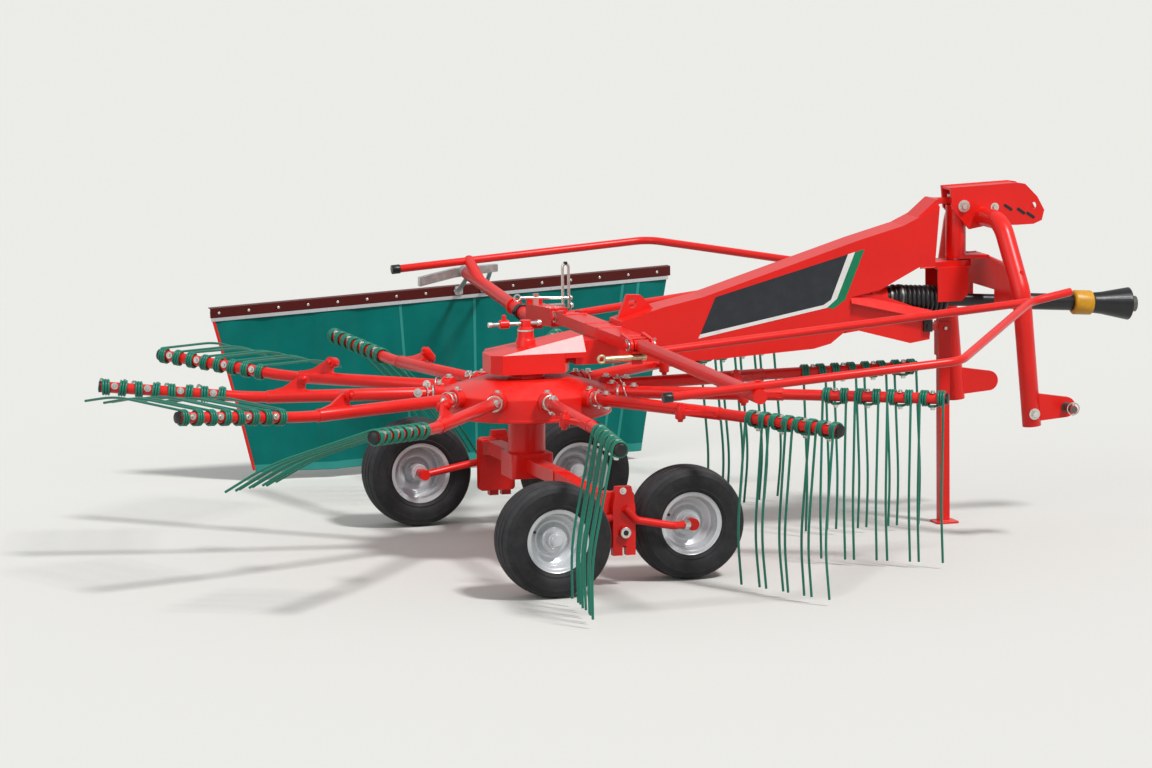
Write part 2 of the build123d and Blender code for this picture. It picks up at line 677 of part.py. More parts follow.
# Lower fork: an open channel that carries the drive shaft's rear end
FORK_OUTLINE = [(1222, 772), (1281, 779), (1485, 722), (1562, 733), (1572, 832), (1352, 915), (1240, 905)]
FORK_HOLLOW = [(1252, 790), (1283, 779 + FORK_FLOOR), (1487, 722 + FORK_FLOOR), (1600, 745), (1600, 960),
               (1400, 942), (1361, 928), (1258, 907)]
with BuildPart() as boom:
    with BuildSketch(side_plane(BOOM_HALF)):
        Polygon(*BOOM_OUTLINE, align=None)
    extrude(amount=2 * BOOM_HALF)
    with BuildSketch(side_plane(BOOM_HALF - BOOM_PLATE)):
        Polygon(*BOOM_OUTLINE, align=None)
        offset(amount=-BOOM_PLATE, kind=Kind.INTERSECTION, mode=Mode.REPLACE)
    extrude(amount=2 * (BOOM_HALF - BOOM_PLATE), mode=Mode.SUBTRACT)
    # Mouth at the front
    with BuildSketch(cross_plane(BOOM_FRONT_X - 60)):
        with Locations((0, (PIVOT_LOW_EAR + PIVOT_HIGH_EAR) / 2)):
            Rectangle(BOOM_HALF, BOOM_HALF)
    extrude(amount=80, mode=Mode.SUBTRACT)
    with BuildSketch(side_plane(FORK_HALF)):
        Polygon(*FORK_OUTLINE, align=None)
    extrude(amount=2 * FORK_HALF)
    with BuildSketch(side_plane(FORK_HALF - BOOM_PLATE)):
        Polygon(*FORK_HOLLOW, align=None)
    extrude(amount=2 * (FORK_HALF - BOOM_PLATE), mode=Mode.SUBTRACT)
    # Tilted lips along the fork's upper edges
    tilt = radians(LIP_TILT_DEG)
    for side in (1, -1):
        lip_start = at(1246, side * FORK_HALF, 914)
        lip_way = at(1568, side * FORK_HALF, 836) - lip_start
        lip_down = Vector(0, side * cos(tilt), -sin(tilt))
        with BuildSketch(Plane(origin=lip_start + lip_down * (LIP_W / 2 - LIP_T), x_dir=lip_down, z_dir=lip_way)):
            Rectangle(LIP_W, LIP_T)
        extrude(amount=lip_way.length)
    # Bulkhead with the collar that holds the drive shaft's stub
    with BuildSketch(cross_plane(STUB_REAR_X - 28)):
        with Locations((0, SHAFT_Z)):
            Rectangle(2 * FORK_HALF - BOOM_PLATE, 150)
    extrude(amount=10)
    rod(on_shaft(STUB_REAR_X - 22), on_shaft(STUB_REAR_X + 34), STUB_R + 10)
    with BuildSketch(Plane(origin=on_shaft(STUB_REAR_X - SEAT), z_dir=shaft_way)):
        Circle(STUB_R + SEAT)
    extrude(amount=60, mode=Mode.SUBTRACT)
    # Upper fork: ears for the pivot pin
    with BuildSketch(level_plane(PIVOT_LOW_EAR)):
        with BuildLine():
            Polyline((EAR_ROOT_X, BOOM_HALF), (EAR_ROOT_X, -BOOM_HALF), (PIVOT_X, -BOOM_HALF + 14))
            RadiusArc((PIVOT_X, -BOOM_HALF + 14), (PIVOT_X, BOOM_HALF - 14), -(BOOM_HALF - 14))
            Line((PIVOT_X, BOOM_HALF - 14), (EAR_ROOT_X, BOOM_HALF))
        make_face()
        with Locations((PIVOT_X, 0)):
            Circle(PIVOT_PIN_R + FIT, mode=Mode.SUBTRACT)
    extrude(amount=PIVOT_EAR_T)
    with BuildSketch(side_plane(BOOM_HALF - 10)):
        Polygon((BOOM_FRONT_X - 110, PIVOT_HIGH_EAR - 62), (BOOM_FRONT_X, PIVOT_HIGH_EAR - 18),
                (BOOM_FRONT_X, PIVOT_HIGH_EAR + PIVOT_EAR_T), (BOOM_FRONT_X - 10, PIVOT_HIGH_EAR + PIVOT_EAR_T),
                align=None)
    extrude(amount=2 * (BOOM_HALF - 10))
    with BuildSketch(level_plane(PIVOT_HIGH_EAR)):
        Polygon((BOOM_FRONT_X - 10, BOOM_HALF - 10), (BOOM_FRONT_X - 10, 10 - BOOM_HALF),
                (BOOM_FRONT_X + 10, -PIVOT_NECK_HALF), (PIVOT_X, -PIVOT_NECK_HALF),
                (PIVOT_X, PIVOT_NECK_HALF), (BOOM_FRONT_X + 10, PIVOT_NECK_HALF), align=None)
        with Locations((PIVOT_X, 0)):
            Circle(HIGH_EAR_R)
            Circle(PIVOT_PIN_R + FIT, mode=Mode.SUBTRACT)
    extrude(amount=PIVOT_EAR_T)
    # Shield that hangs from the low ear on both sides of the shaft, open round the pivot pin's nut
    with BuildSketch(level_plane(PIVOT_LOW_EAR - SHIELD_T)):
        with Locations(((SHIELD_REAR_X + SHIELD_FRONT_X) / 2, 0)):
            Rectangle(SHIELD_FRONT_X - SHIELD_REAR_X, 2 * SHIELD_HALF)
        with Locations((PIVOT_X, 0)):
            Circle(PIVOT_PIN_R + 22, mode=Mode.SUBTRACT)
    extrude(amount=SHIELD_T + 1)
    for side in (1, -1):
        with BuildSketch(side_plane(side * SHIELD_HALF)):
            Polygon((SHIELD_REAR_X, PIVOT_LOW_EAR), (SHIELD_FRONT_X, PIVOT_LOW_EAR), (SHIELD_FRONT_X, SHIELD_LOW + 24),
                    (SHIELD_FRONT_X - 24, SHIELD_LOW), (SHIELD_REAR_X, SHIELD_LOW), align=None)
        extrude(amount=side * SHIELD_T)
    # Lifting lug with its hole
    with BuildSketch(side_plane(10)):
        with BuildLine():
            Polyline((LUG_X - 60, LUG_Z - 64), (LUG_X + 84, LUG_Z - 26), (LUG_X + 32, LUG_Z + 30),
                     (LUG_X - 20, LUG_Z + 34), (LUG_X - 60, LUG_Z - 64))
        make_face()
        with Locations((LUG_X, LUG_Z)):
            Circle(LUG_HOLE_R, mode=Mode.SUBTRACT)
    extrude(amount=20)
boom.part.label = "boom"
export_step(boom.part, "parts/boom.step")

# Pivot pin of the headstock, with a head above and a nut below
with BuildPart() as pivot_pin:
    rod(at(PIVOT_X, 0, PIVOT_LOW_EAR - 26), at(PIVOT_X, 0, PIVOT_HIGH_EAR + PIVOT_EAR_T + 12), PIVOT_PIN_R)
    rod(at(PIVOT_X, 0, PIVOT_LOW_EAR - 20), at(PIVOT_X, 0, PIVOT_LOW_EAR), PIVOT_PIN_R + 12)
    rod(at(PIVOT_X, 0, PIVOT_HIGH_EAR + PIVOT_EAR_T), at(PIVOT_X, 0, PIVOT_HIGH_EAR + PIVOT_EAR_T + 12),
        PIVOT_PIN_R + 12)
pivot_pin.part.label = "pivot_pin"
export_step(pivot_pin.part, "parts/pivot_pin.step")


# Cross beam with an ear pair at each end for a guard's hinge, and the hinge pins
ear_near = CROSS_X - HINGE_BARREL_L / 2 - HINGE_GAP
ear_far = CROSS_X + HINGE_BARREL_L / 2 + HINGE_GAP
hinge_z = cross_top - HINGE_DROP
with BuildPart() as cross_beam:
    with BuildSketch(level_plane(cross_low)):
        with Locations((CROSS_X, 0)):
            Rectangle(CROSS_W, 2 * CROSS_HALF)
    extrude(amount=CROSS_H)
    for side in (1, -1):
        for ear_x in (ear_near - HINGE_EAR_T, ear_far):
            with BuildSketch(cross_plane(ear_x)):
                Polygon((side * (CROSS_HALF - 60), cross_low), (side * (CROSS_HALF - 60), cross_top + 14),
                        (side * HINGE_Y, hinge_z + 24), (side * HINGE_Y, hinge_z - 24),
                        (side * (CROSS_HALF - 30), hinge_z - 24), align=None)
                with Locations((side * HINGE_Y, hinge_z)):
                    Circle(HINGE_BARREL_R + 4)
            extrude(amount=HINGE_EAR_T)
    for side in (1, -1):
        rod(at(ear_near - HINGE_EAR_T - 14, side * HINGE_Y, hinge_z),
            at(ear_far + HINGE_EAR_T + 14, side * HINGE_Y, hinge_z), HINGE_PIN_R)
cross_beam.part.label = "cross_beam"
export_step(cross_beam.part, "parts/cross_beam.step")


# Guards: an arm out from the hinge, a rail outside the rotor, and an inner tube to the front tip.
# The left arm starts as a box with a clamp, and its tube takes the sliding tube of the curtain.
# Columns: name, side, rail's rear end x, tube's start y and z, tube's end z, rail z, inner tube's z, junction z
GUARDS = [
    ("left", 1, 17, BOX_ARM_OUT, 757, 841, 895, 802, 887),
    ("right", -1, -10, HINGE_Y + 14, 819, 800, 834, 817, 968),
]
rise = tan(radians(RAIL_RISE_DEG))
for side_name, side, rear_x, tube_y, tube_z, end_z, rail_z, inner_z, junction_z in GUARDS:
    hinge = at(CROSS_X, side * HINGE_Y, hinge_z)
    tube_start = at(CROSS_X, side * tube_y, tube_z)
    arm_end = at(CROSS_X, side * RAIL_Y, end_z)
    arm_way = arm_end - tube_start
    reach = arm_way.normalized()
    rail_rear = at(rear_x, side * RAIL_Y, rail_z + (rear_x - CROSS_X) * rise)
    rail_bend = at(RAIL_BEND_X, side * RAIL_Y, rail_z + (RAIL_BEND_X - CROSS_X) * rise)
    junction = at(JUNCTION_X, side * JUNCTION_Y, junction_z)
    tip = at(TIP_X, side * TIP_Y, junction_z + TIP_RISE)
    with BuildPart() as guard:
        rod(hinge - Vector(HINGE_BARREL_L / 2, 0, 0), hinge + Vector(HINGE_BARREL_L / 2, 0, 0), HINGE_BARREL_R)
        rod(tube_start, arm_end + reach * 24, GUARD_ARM_R)
        # Riser from the tube up to the rail
        rod(tube_start + arm_way * ((RISER_Y - tube_y) / (RAIL_Y - tube_y)), at(CROSS_X, side * RAIL_Y, rail_z),
            GUARD_ARM_R - 4)
        bent_tube([rail_rear, rail_bend, junction, tip], GUARD_TUBE_R, 110)
        rod(at(CROSS_X, side * INNER_TUBE_Y, inner_z), junction, GUARD_TUBE_R)
        if side > 0:
            rod(hinge + Vector(0, HINGE_BARREL_R - 6, 0), at(CROSS_X, BOX_ARM_IN + 20, inner_z + 6), GUARD_ARM_R)
            bar(at(CROSS_X, BOX_ARM_IN, inner_z + 6), at(CROSS_X, BOX_ARM_OUT, inner_z - 12), BOX_ARM_W, BOX_ARM_H)
            bar(at(CROSS_X, BOX_ARM_OUT - 4, inner_z - 12), at(CROSS_X, BOX_ARM_OUT + CLAMP_T, inner_z - 12),
                CLAMP_W, CLAMP_H)
            flange = tube_start + arm_way * ((FLANGE_Y - tube_y) / (RAIL_Y - tube_y))
            rod(flange, flange + reach * FLANGE_T, FLANGE_R)
            # Bore for the sliding tube of the curtain
            with BuildSketch(Plane(origin=arm_end + reach * 60, z_dir=-reach)):
                Circle(SLIDE_TUBE_R + FIT)
            extrude(amount=RAIL_Y - SLIDE_TUBE_IN + 100, mode=Mode.SUBTRACT)
        with BuildSketch(Plane(origin=hinge - Vector(HINGE_BARREL_L, 0, 0), z_dir=(1, 0, 0))):
            Circle(HINGE_PIN_R + FIT)
        extrude(amount=2 * HINGE_BARREL_L, mode=Mode.SUBTRACT)
    guard.part.label = f"guard_{side_name}"
    export_step(guard.part, f"parts/guard_{side_name}.step")
    with BuildPart() as guard_cap:
        back = (rail_rear - rail_bend).normalized()
        rod(rail_rear, rail_rear + back * CAP_LENGTH, GUARD_TUBE_R + 3)
    guard_cap.part.label = f"guard_cap_{side_name}"
    export_step(guard_cap.part, f"parts/guard_cap_{side_name}.step")
    if side > 0:
        slide_out = arm_end
        slide_way = reach
        slide_in = tube_start + arm_way * ((SLIDE_TUBE_IN - tube_y) / (RAIL_Y - tube_y))


# Height of the curtain's top bar, which rises towards the front
bar_rise = tan(radians(CURTAIN_RISE_DEG))


def bar_top(x):
    """Height of the top bar's upper edge at a place along the rake."""
    return CURTAIN_TOP_REAR_Z + (x - CURTAIN_REAR_X) * bar_rise


# Curtain carrier: the sliding tube, a galvanised channel at its end and two hanger rods out to the top bar
# Columns: x at the channel, x at the bar
HANGERS = [(335, 378), (415, 487)]
with BuildPart() as carrier:
    rod(slide_in, slide_out + slide_way * 76, SLIDE_TUBE_R)
    with BuildSketch(side_plane(RAIL_Y + 96)):
        Polygon((118, 793), (262, 822), (440, 838), (440, 866), (266, 858), (118, 828), align=None)
    extrude(amount=30)
    for x, bar_x in HANGERS:
        plate_z = bar_top(bar_x) - 20
        rod(at(x, RAIL_Y + 82, 845), at(bar_x, CURTAIN_Y - CURTAIN_BAR_T - 6, plate_z), HANGER_R)
        with BuildSketch(side_plane(CURTAIN_Y - CURTAIN_BAR_T - SEAT)):
            with Locations((bar_x, plate_z)):
                RectangleRounded(HANGER_PLATE, HANGER_PLATE, 8)
        extrude(amount=8)
carrier.part.label = "curtain_carrier"
export_step(carrier.part, "parts/curtain_carrier.step")

# Curtain top bar: an angle that rises towards the front
with BuildPart() as top_bar:
    with BuildSketch(side_plane(CURTAIN_Y)):
        Polygon((CURTAIN_REAR_X, bar_top(CURTAIN_REAR_X)), (CURTAIN_FRONT_X, bar_top(CURTAIN_FRONT_X)),
                (CURTAIN_FRONT_X, bar_top(CURTAIN_FRONT_X) - CURTAIN_BAR_H),
                (CURTAIN_REAR_X, bar_top(CURTAIN_REAR_X) - CURTAIN_BAR_H), align=None)
    extrude(amount=CURTAIN_BAR_T)
    with BuildSketch(side_plane(CURTAIN_Y + CURTAIN_FLANGE)):
        Polygon((CURTAIN_REAR_X, bar_top(CURTAIN_REAR_X)), (CURTAIN_FRONT_X, bar_top(CURTAIN_FRONT_X)),
                (CURTAIN_FRONT_X, bar_top(CURTAIN_FRONT_X) - CURTAIN_BAR_T),
                (CURTAIN_REAR_X, bar_top(CURTAIN_REAR_X) - CURTAIN_BAR_T), align=None)
    extrude(amount=CURTAIN_FLANGE)
top_bar.part.label = "curtain_bar"
export_step(top_bar.part, "parts/curtain_bar.step")

# Curtain cloth: hangs behind the bar's upright leg, narrower at the hem
with BuildPart() as cloth:
    cloth_top_rear = bar_top(CURTAIN_REAR_X) - CURTAIN_BAR_T - SEAT
    cloth_top_front = bar_top(CURTAIN_FRONT_X) - CURTAIN_BAR_T - SEAT
    with BuildSketch(side_plane(CURTAIN_Y + SEAT + CLOTH_T)):
        Polygon((CURTAIN_REAR_X + 6, cloth_top_rear), (CURTAIN_FRONT_X - 6, cloth_top_front),
                (CURTAIN_FRONT_X - 6 - CLOTH_FRONT_SLANT * (cloth_top_front - CLOTH_LOW), CLOTH_LOW),
                (CURTAIN_REAR_X + 6 + CLOTH_REAR_SLANT * (cloth_top_rear - CLOTH_LOW), CLOTH_LOW), align=None)
    extrude(amount=CLOTH_T)
cloth.part.label = "curtain_cloth"
export_step(cloth.part, "parts/curtain_cloth.step")


# Headstock: pivot sleeve, arch tube, top-link bracket, cross plate and lower-link lugs in one weldment
arch_up = Vector(ARCH_CROWN_X - ARCH_FOOT_X, 0, ARCH_CROWN_Z - ARCH_FOOT_Z)


def on_arch(y, share):
    """A point in the arch's leaning plane, by its distance from the middle and its share of the height."""
    return at(ARCH_FOOT_X, y, ARCH_FOOT_Z) + arch_up * share


with BuildPart() as headstock:
    bent_tube(
        [
            on_arch(-ARCH_HALF, 0),
            on_arch(-ARCH_HALF, 0.66),
            on_arch(-ARCH_HALF * 0.62, 1),
            on_arch(ARCH_HALF * 0.62, 1),
            on_arch(ARCH_HALF, 0.66),
            on_arch(ARCH_HALF, 0),
        ],
        ARCH_R,
        110,
    )
    rod(at(PIVOT_X, 0, PIVOT_LOW_EAR + PIVOT_EAR_T + PIVOT_GAP), at(PIVOT_X, 0, PIVOT_HIGH_EAR - PIVOT_GAP),
        PIVOT_SLEEVE_R)
    # Gusset plates that hold the sleeve to the cross plate and to the top-link bracket
    with BuildSketch(level_plane(PIVOT_LOW_EAR + PIVOT_EAR_T + PIVOT_GAP)):
        Polygon((PIVOT_X - 8, PIVOT_SLEEVE_R - 2), (PIVOT_X - 8, 2 - PIVOT_SLEEVE_R), (1802, -62), (1802, 62),
                align=None)
    extrude(amount=GUSSET_T)
    with BuildSketch(level_plane(PIVOT_HIGH_EAR - PIVOT_GAP - 3 * GUSSET_T)):
        Polygon((PIVOT_X, HITCH_PLATE_GAP / 2 + 2), (PIVOT_X, -HITCH_PLATE_GAP / 2 - 2),
                (1840, -HITCH_PLATE_GAP / 2 - 2), (1840, HITCH_PLATE_GAP / 2 + 2), align=None)
    extrude(amount=GUSSET_T)
    with BuildSketch(cross_plane(1796)):
        Polygon((-ARCH_HALF, 868), (-120, 856), (-120, 916), (120, 916), (120, 856), (ARCH_HALF, 868),
                (ARCH_HALF, 1016), (64, 1034), (-64, 1034), (-ARCH_HALF, 1016), align=None)
    extrude(amount=CROSS_PLATE_T)
    # Top-link bracket: two plates under a sloping top plate
    for plate_y in (HITCH_PLATE_GAP / 2 + HITCH_PLATE_T, -HITCH_PLATE_GAP / 2):
        with BuildSketch(side_plane(plate_y)):
            Polygon((1649, 1297), (1657, 1214), (1725, 1138), (1800, 1150), (1918, 1146), (1982, 1147), (2016, 1160),
                    (2026, 1198), (1998, 1250), (1950, 1299), (1918, 1305), align=None)
            with Locations((TOP_HOLE_X, TOP_HOLE_Z)):
                Circle(TOP_HOLE_R, mode=Mode.SUBTRACT)
        extrude(amount=HITCH_PLATE_T)
    with BuildSketch(side_plane(HITCH_PLATE_GAP / 2 + 1)):
        Polygon((1652, 1286), (1651, 1294), (1918, 1302), (1918, 1294), align=None)
    extrude(amount=HITCH_PLATE_GAP + 2)
    rod(at(1850, -HITCH_PLATE_GAP / 2 - 2, 1216), at(1850, HITCH_PLATE_GAP / 2 + 2, 1216), 16)
    # Lower-link lugs with their outboard pins
    for side in (1, -1):
        with BuildSketch(side_plane(side * ARCH_HALF + LINK_LUG_T / 2)):
            Polygon((ARCH_FOOT_X, 470), (ARCH_FOOT_X, 560), (LINK_PIN_X, LINK_PIN_Z + LINK_LUG_R),
                    (LINK_PIN_X, LINK_PIN_Z - LINK_LUG_R), (ARCH_FOOT_X, 452), align=None)
            with Locations((LINK_PIN_X, LINK_PIN_Z)):
                Circle(LINK_LUG_R)
        extrude(amount=LINK_LUG_T)
        rod(at(LINK_PIN_X, side * ARCH_HALF, LINK_PIN_Z),
            at(LINK_PIN_X, side * (ARCH_HALF + LINK_LUG_T / 2 + LINK_PIN_LENGTH), LINK_PIN_Z), LINK_PIN_R)
    # Bore for the pivot pin
    with BuildSketch(level_plane(PIVOT_LOW_EAR)):
        with Locations((PIVOT_X, 0)):
            Circle(PIVOT_PIN_R + FIT)
    extrude(amount=PIVOT_HIGH_EAR - PIVOT_LOW_EAR, mode=Mode.SUBTRACT)
headstock.part.label = "headstock"
export_step(headstock.part, "parts/headstock.step")


# Drive shaft: ribbed bellows in the boom, tube, collar, front cone and splined yoke on one sloping line
shaft_section = Plane(origin=shaft_rear, x_dir=shaft_way, z_dir=(0, -1, 0))
shaft_axis = Axis(shaft_rear, shaft_way)
bellows_length = (BELLOWS_FRONT_X - BELLOWS_REAR_X) / cos(slope)
rib_pitch = bellows_length / BELLOWS_RIBS
with BuildPart() as bellows:
    with BuildSketch(shaft_section):
        rib_points = []
        for rib in range(BELLOWS_RIBS):
            rib_points += [(rib * rib_pitch, BELLOWS_R - BELLOWS_GROOVE), (rib * rib_pitch + rib_pitch / 2, BELLOWS_R)]
        Polygon((0, INNER_TUBE_R - 4), *rib_points, (bellows_length, BELLOWS_R - BELLOWS_GROOVE),
                (bellows_length, INNER_TUBE_R - 4), align=None)
    revolve(axis=shaft_axis)
    rod(on_shaft(STUB_REAR_X), on_shaft(BELLOWS_REAR_X + 6), STUB_R)
bellows.part.label = "shaft_bellows"
export_step(bellows.part, "parts/shaft_bellows.step")

with BuildPart() as shaft_tube:
    rod(on_shaft(BELLOWS_FRONT_X), on_shaft(OUTER_TUBE_X), INNER_TUBE_R)
    rod(on_shaft(OUTER_TUBE_X), on_shaft(COLLAR_X), SHAFT_TUBE_R)
shaft_tube.part.label = "shaft_tube"
export_step(shaft_tube.part, "parts/shaft_tube.step")

with BuildPart() as shaft_collar:
    rod(on_shaft(COLLAR_X), on_shaft(COLLAR_X + COLLAR_LENGTH), COLLAR_R)
    chamfer(shaft_collar.edges().filter_by(GeomType.CIRCLE), 6)
shaft_collar.part.label = "shaft_collar"
export_step(shaft_collar.part, "parts/shaft_collar.step")

cone_start = COLLAR_X + COLLAR_LENGTH
with BuildPart() as shaft_cone:
    with BuildSketch(Plane(origin=on_shaft(cone_start), x_dir=shaft_way, z_dir=(0, -1, 0))):
        Polygon((0, 0), (0, COLLAR_R - 8), (40, COLLAR_R - 4), (CONE_LENGTH, CONE_R), (CONE_LENGTH, CONE_R - 5),
                (50, COLLAR_R - 8), (50, 0), align=None)
    revolve(axis=shaft_axis)
shaft_cone.part.label = "shaft_cone"
export_step(shaft_cone.part, "parts/shaft_cone.step")

with BuildPart() as shaft_yoke:
    yoke_start = on_shaft(cone_start) + shaft_way * 50
    rod(yoke_start, yoke_start + shaft_way * (CONE_LENGTH - 50 + 30), YOKE_R)
    with BuildSketch(Plane(origin=yoke_start + shaft_way * (CONE_LENGTH - 20), z_dir=-shaft_way)):
        Circle(YOKE_BORE_R)
    extrude(amount=YOKE_LENGTH, mode=Mode.SUBTRACT)
shaft_yoke.part.label = "shaft_yoke"
export_step(shaft_yoke.part, "parts/shaft_yoke.step")


# Bracket bolted to the boom's lower fork, with a sleeve for the parking leg
with BuildPart() as leg_bracket:
    with BuildSketch(level_plane(LEG_SLEEVE_LOW)):
        with Locations((LEG_X, LEG_Y)):
            Rectangle(LEG_W + 2 * LEG_SLEEVE_WALL + 2 * LEG_PLAY, LEG_W + 2 * LEG_SLEEVE_WALL + 2 * LEG_PLAY)
    extrude(amount=LEG_SLEEVE_HIGH - LEG_SLEEVE_LOW)
    with BuildSketch(level_plane(LEG_BRACKET_Z)):
        Polygon(
            (LEG_BRACKET_X - 80, FORK_HALF + SEAT),
            (LEG_BRACKET_X, FORK_HALF + SEAT),
            (LEG_X - LEG_W / 2, LEG_Y - LEG_W / 2),
            (LEG_X - LEG_W / 2, LEG_Y + LEG_W / 2),
            (LEG_BRACKET_X - 80, FORK_HALF + 20),
            align=None,
        )
    extrude(amount=LEG_BRACKET_H)
    with BuildSketch(level_plane(LEG_SLEEVE_LOW)):
        with Locations((LEG_X, LEG_Y)):
            Rectangle(LEG_W + 2 * LEG_PLAY, LEG_W + 2 * LEG_PLAY)
    extrude(amount=LEG_SLEEVE_HIGH - LEG_SLEEVE_LOW, mode=Mode.SUBTRACT)
leg_bracket.part.label = "leg_bracket"
export_step(leg_bracket.part, "parts/leg_bracket.step")

# Parking leg
with BuildPart() as parking_leg:
    with BuildSketch(level_plane(0)):
        with Locations((LEG_X + (LEG_FOOT_W - LEG_W) / 2 - 20, LEG_Y)):
            RectangleRounded(LEG_FOOT_W, LEG_FOOT_W, 12)
    extrude(amount=LEG_FOOT_T)
    with BuildSketch(level_plane(0)):
        with Locations((LEG_X, LEG_Y)):
            Rectangle(LEG_W, LEG_W)
    extrude(amount=LEG_TOP)
parking_leg.part.label = "parking_leg"
export_step(parking_leg.part, "parts/parking_leg.step")
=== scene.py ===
"""Rotary rake: camera, soft light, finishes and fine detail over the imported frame.

The scene is in metres, with +X to the hitch and +Z up. Sizes are named in millimetres.
"""
import json
from math import cos, pi, radians, sin, sqrt, tan
from random import Random

import bmesh
import bpy
from mathutils import Matrix, Quaternion, Vector


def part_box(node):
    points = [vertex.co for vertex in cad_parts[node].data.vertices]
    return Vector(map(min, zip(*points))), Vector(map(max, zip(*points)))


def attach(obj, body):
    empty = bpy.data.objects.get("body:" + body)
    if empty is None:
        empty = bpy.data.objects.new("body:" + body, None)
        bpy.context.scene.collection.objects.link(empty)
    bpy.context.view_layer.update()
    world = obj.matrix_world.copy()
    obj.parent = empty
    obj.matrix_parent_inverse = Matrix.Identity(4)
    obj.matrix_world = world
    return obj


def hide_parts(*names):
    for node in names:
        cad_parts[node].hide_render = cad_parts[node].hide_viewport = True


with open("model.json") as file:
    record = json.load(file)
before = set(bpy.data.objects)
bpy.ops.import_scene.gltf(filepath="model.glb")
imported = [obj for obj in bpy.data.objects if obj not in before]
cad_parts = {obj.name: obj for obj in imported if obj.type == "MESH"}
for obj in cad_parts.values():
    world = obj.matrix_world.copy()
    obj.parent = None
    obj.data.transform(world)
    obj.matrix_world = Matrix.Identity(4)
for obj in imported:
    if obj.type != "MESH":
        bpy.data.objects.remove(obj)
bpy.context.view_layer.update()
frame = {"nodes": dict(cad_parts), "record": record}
MM = 0.001
UP = Vector((0, 0, 1))
ALONG = Vector((1, 0, 0))
LEFT = Vector((0, 1, 0))

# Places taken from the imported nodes
COLUMN_LOW, COLUMN_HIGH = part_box("column")
ROTOR = Vector(((COLUMN_LOW.x + COLUMN_HIGH.x) / 2, (COLUMN_LOW.y + COLUMN_HIGH.y) / 2, 0))


def at(x, y, z):
    """A point in millimetres from the rotor's axis at ground level, as the part's sizes are given."""
    return ROTOR + Vector((x, y, z)) * MM


# Camera, at the photograph's place and angle, drawn in to the rake
CAMERA_PLACE = ROTOR + Vector((-6.6576, -21.2063, 3.7338))
CAMERA_LOOK = Vector((0.30443, 0.94249, -0.13798))
CAMERA_ROLL = radians(-0.596)
CAMERA_LENS = 191.3

camera = bpy.data.objects.new("camera", bpy.data.cameras.new("camera"))
bpy.context.scene.collection.objects.link(camera)
camera.location = CAMERA_PLACE
camera.rotation_mode = "QUATERNION"
camera.rotation_quaternion = CAMERA_LOOK.to_track_quat("-Z", "Y") @ Quaternion((0, 0, 1), CAMERA_ROLL)
camera.data.lens = CAMERA_LENS
camera.data.sensor_width = 36
camera.data.clip_start = 0.1
camera.data.clip_end = 400
bpy.context.scene.camera = camera
bpy.context.scene.view_settings.view_transform = "Standard"


# Finishes
def linear(hex_colour):
    """An sRGB hex colour as the linear values that a shader takes."""
    values = [int(hex_colour[i:i + 2], 16) / 255 for i in (1, 3, 5)]
    return [v / 12.92 if v <= 0.04045 else ((v + 0.055) / 1.055) ** 2.4 for v in values] + [1.0]


def per_metre(millimetres):
    """The pattern scale whose features are about this many millimetres across."""
    return 1000 / millimetres


def add(material, kind, inputs=None, **settings):
    """Adds a shader node. Inputs are set, or linked where an output is given. Settings are the node's own."""
    made = material.node_tree.nodes.new("ShaderNode" + kind)
    for name, value in settings.items():
        setattr(made, name, value)
    for name, value in (inputs or {}).items():
        if isinstance(value, bpy.types.NodeSocket):
            material.node_tree.links.new(value, made.inputs[name])
        else:
            made.inputs[name].default_value = value
    return made


def new_material(name):
    """A material with an empty node tree, and the object's own coordinates."""
    material = bpy.data.materials.new(name)
    material.use_nodes = True
    material.node_tree.nodes.clear()
    return material, add(material, "TexCoord").outputs["Object"]


def finish_material(material, shader_inputs):
    """Closes a material with its surface shader and output."""
    shader = add(material, "BsdfPrincipled", shader_inputs)
    add(material, "OutputMaterial", {"Surface": shader.outputs["BSDF"]})
    return material


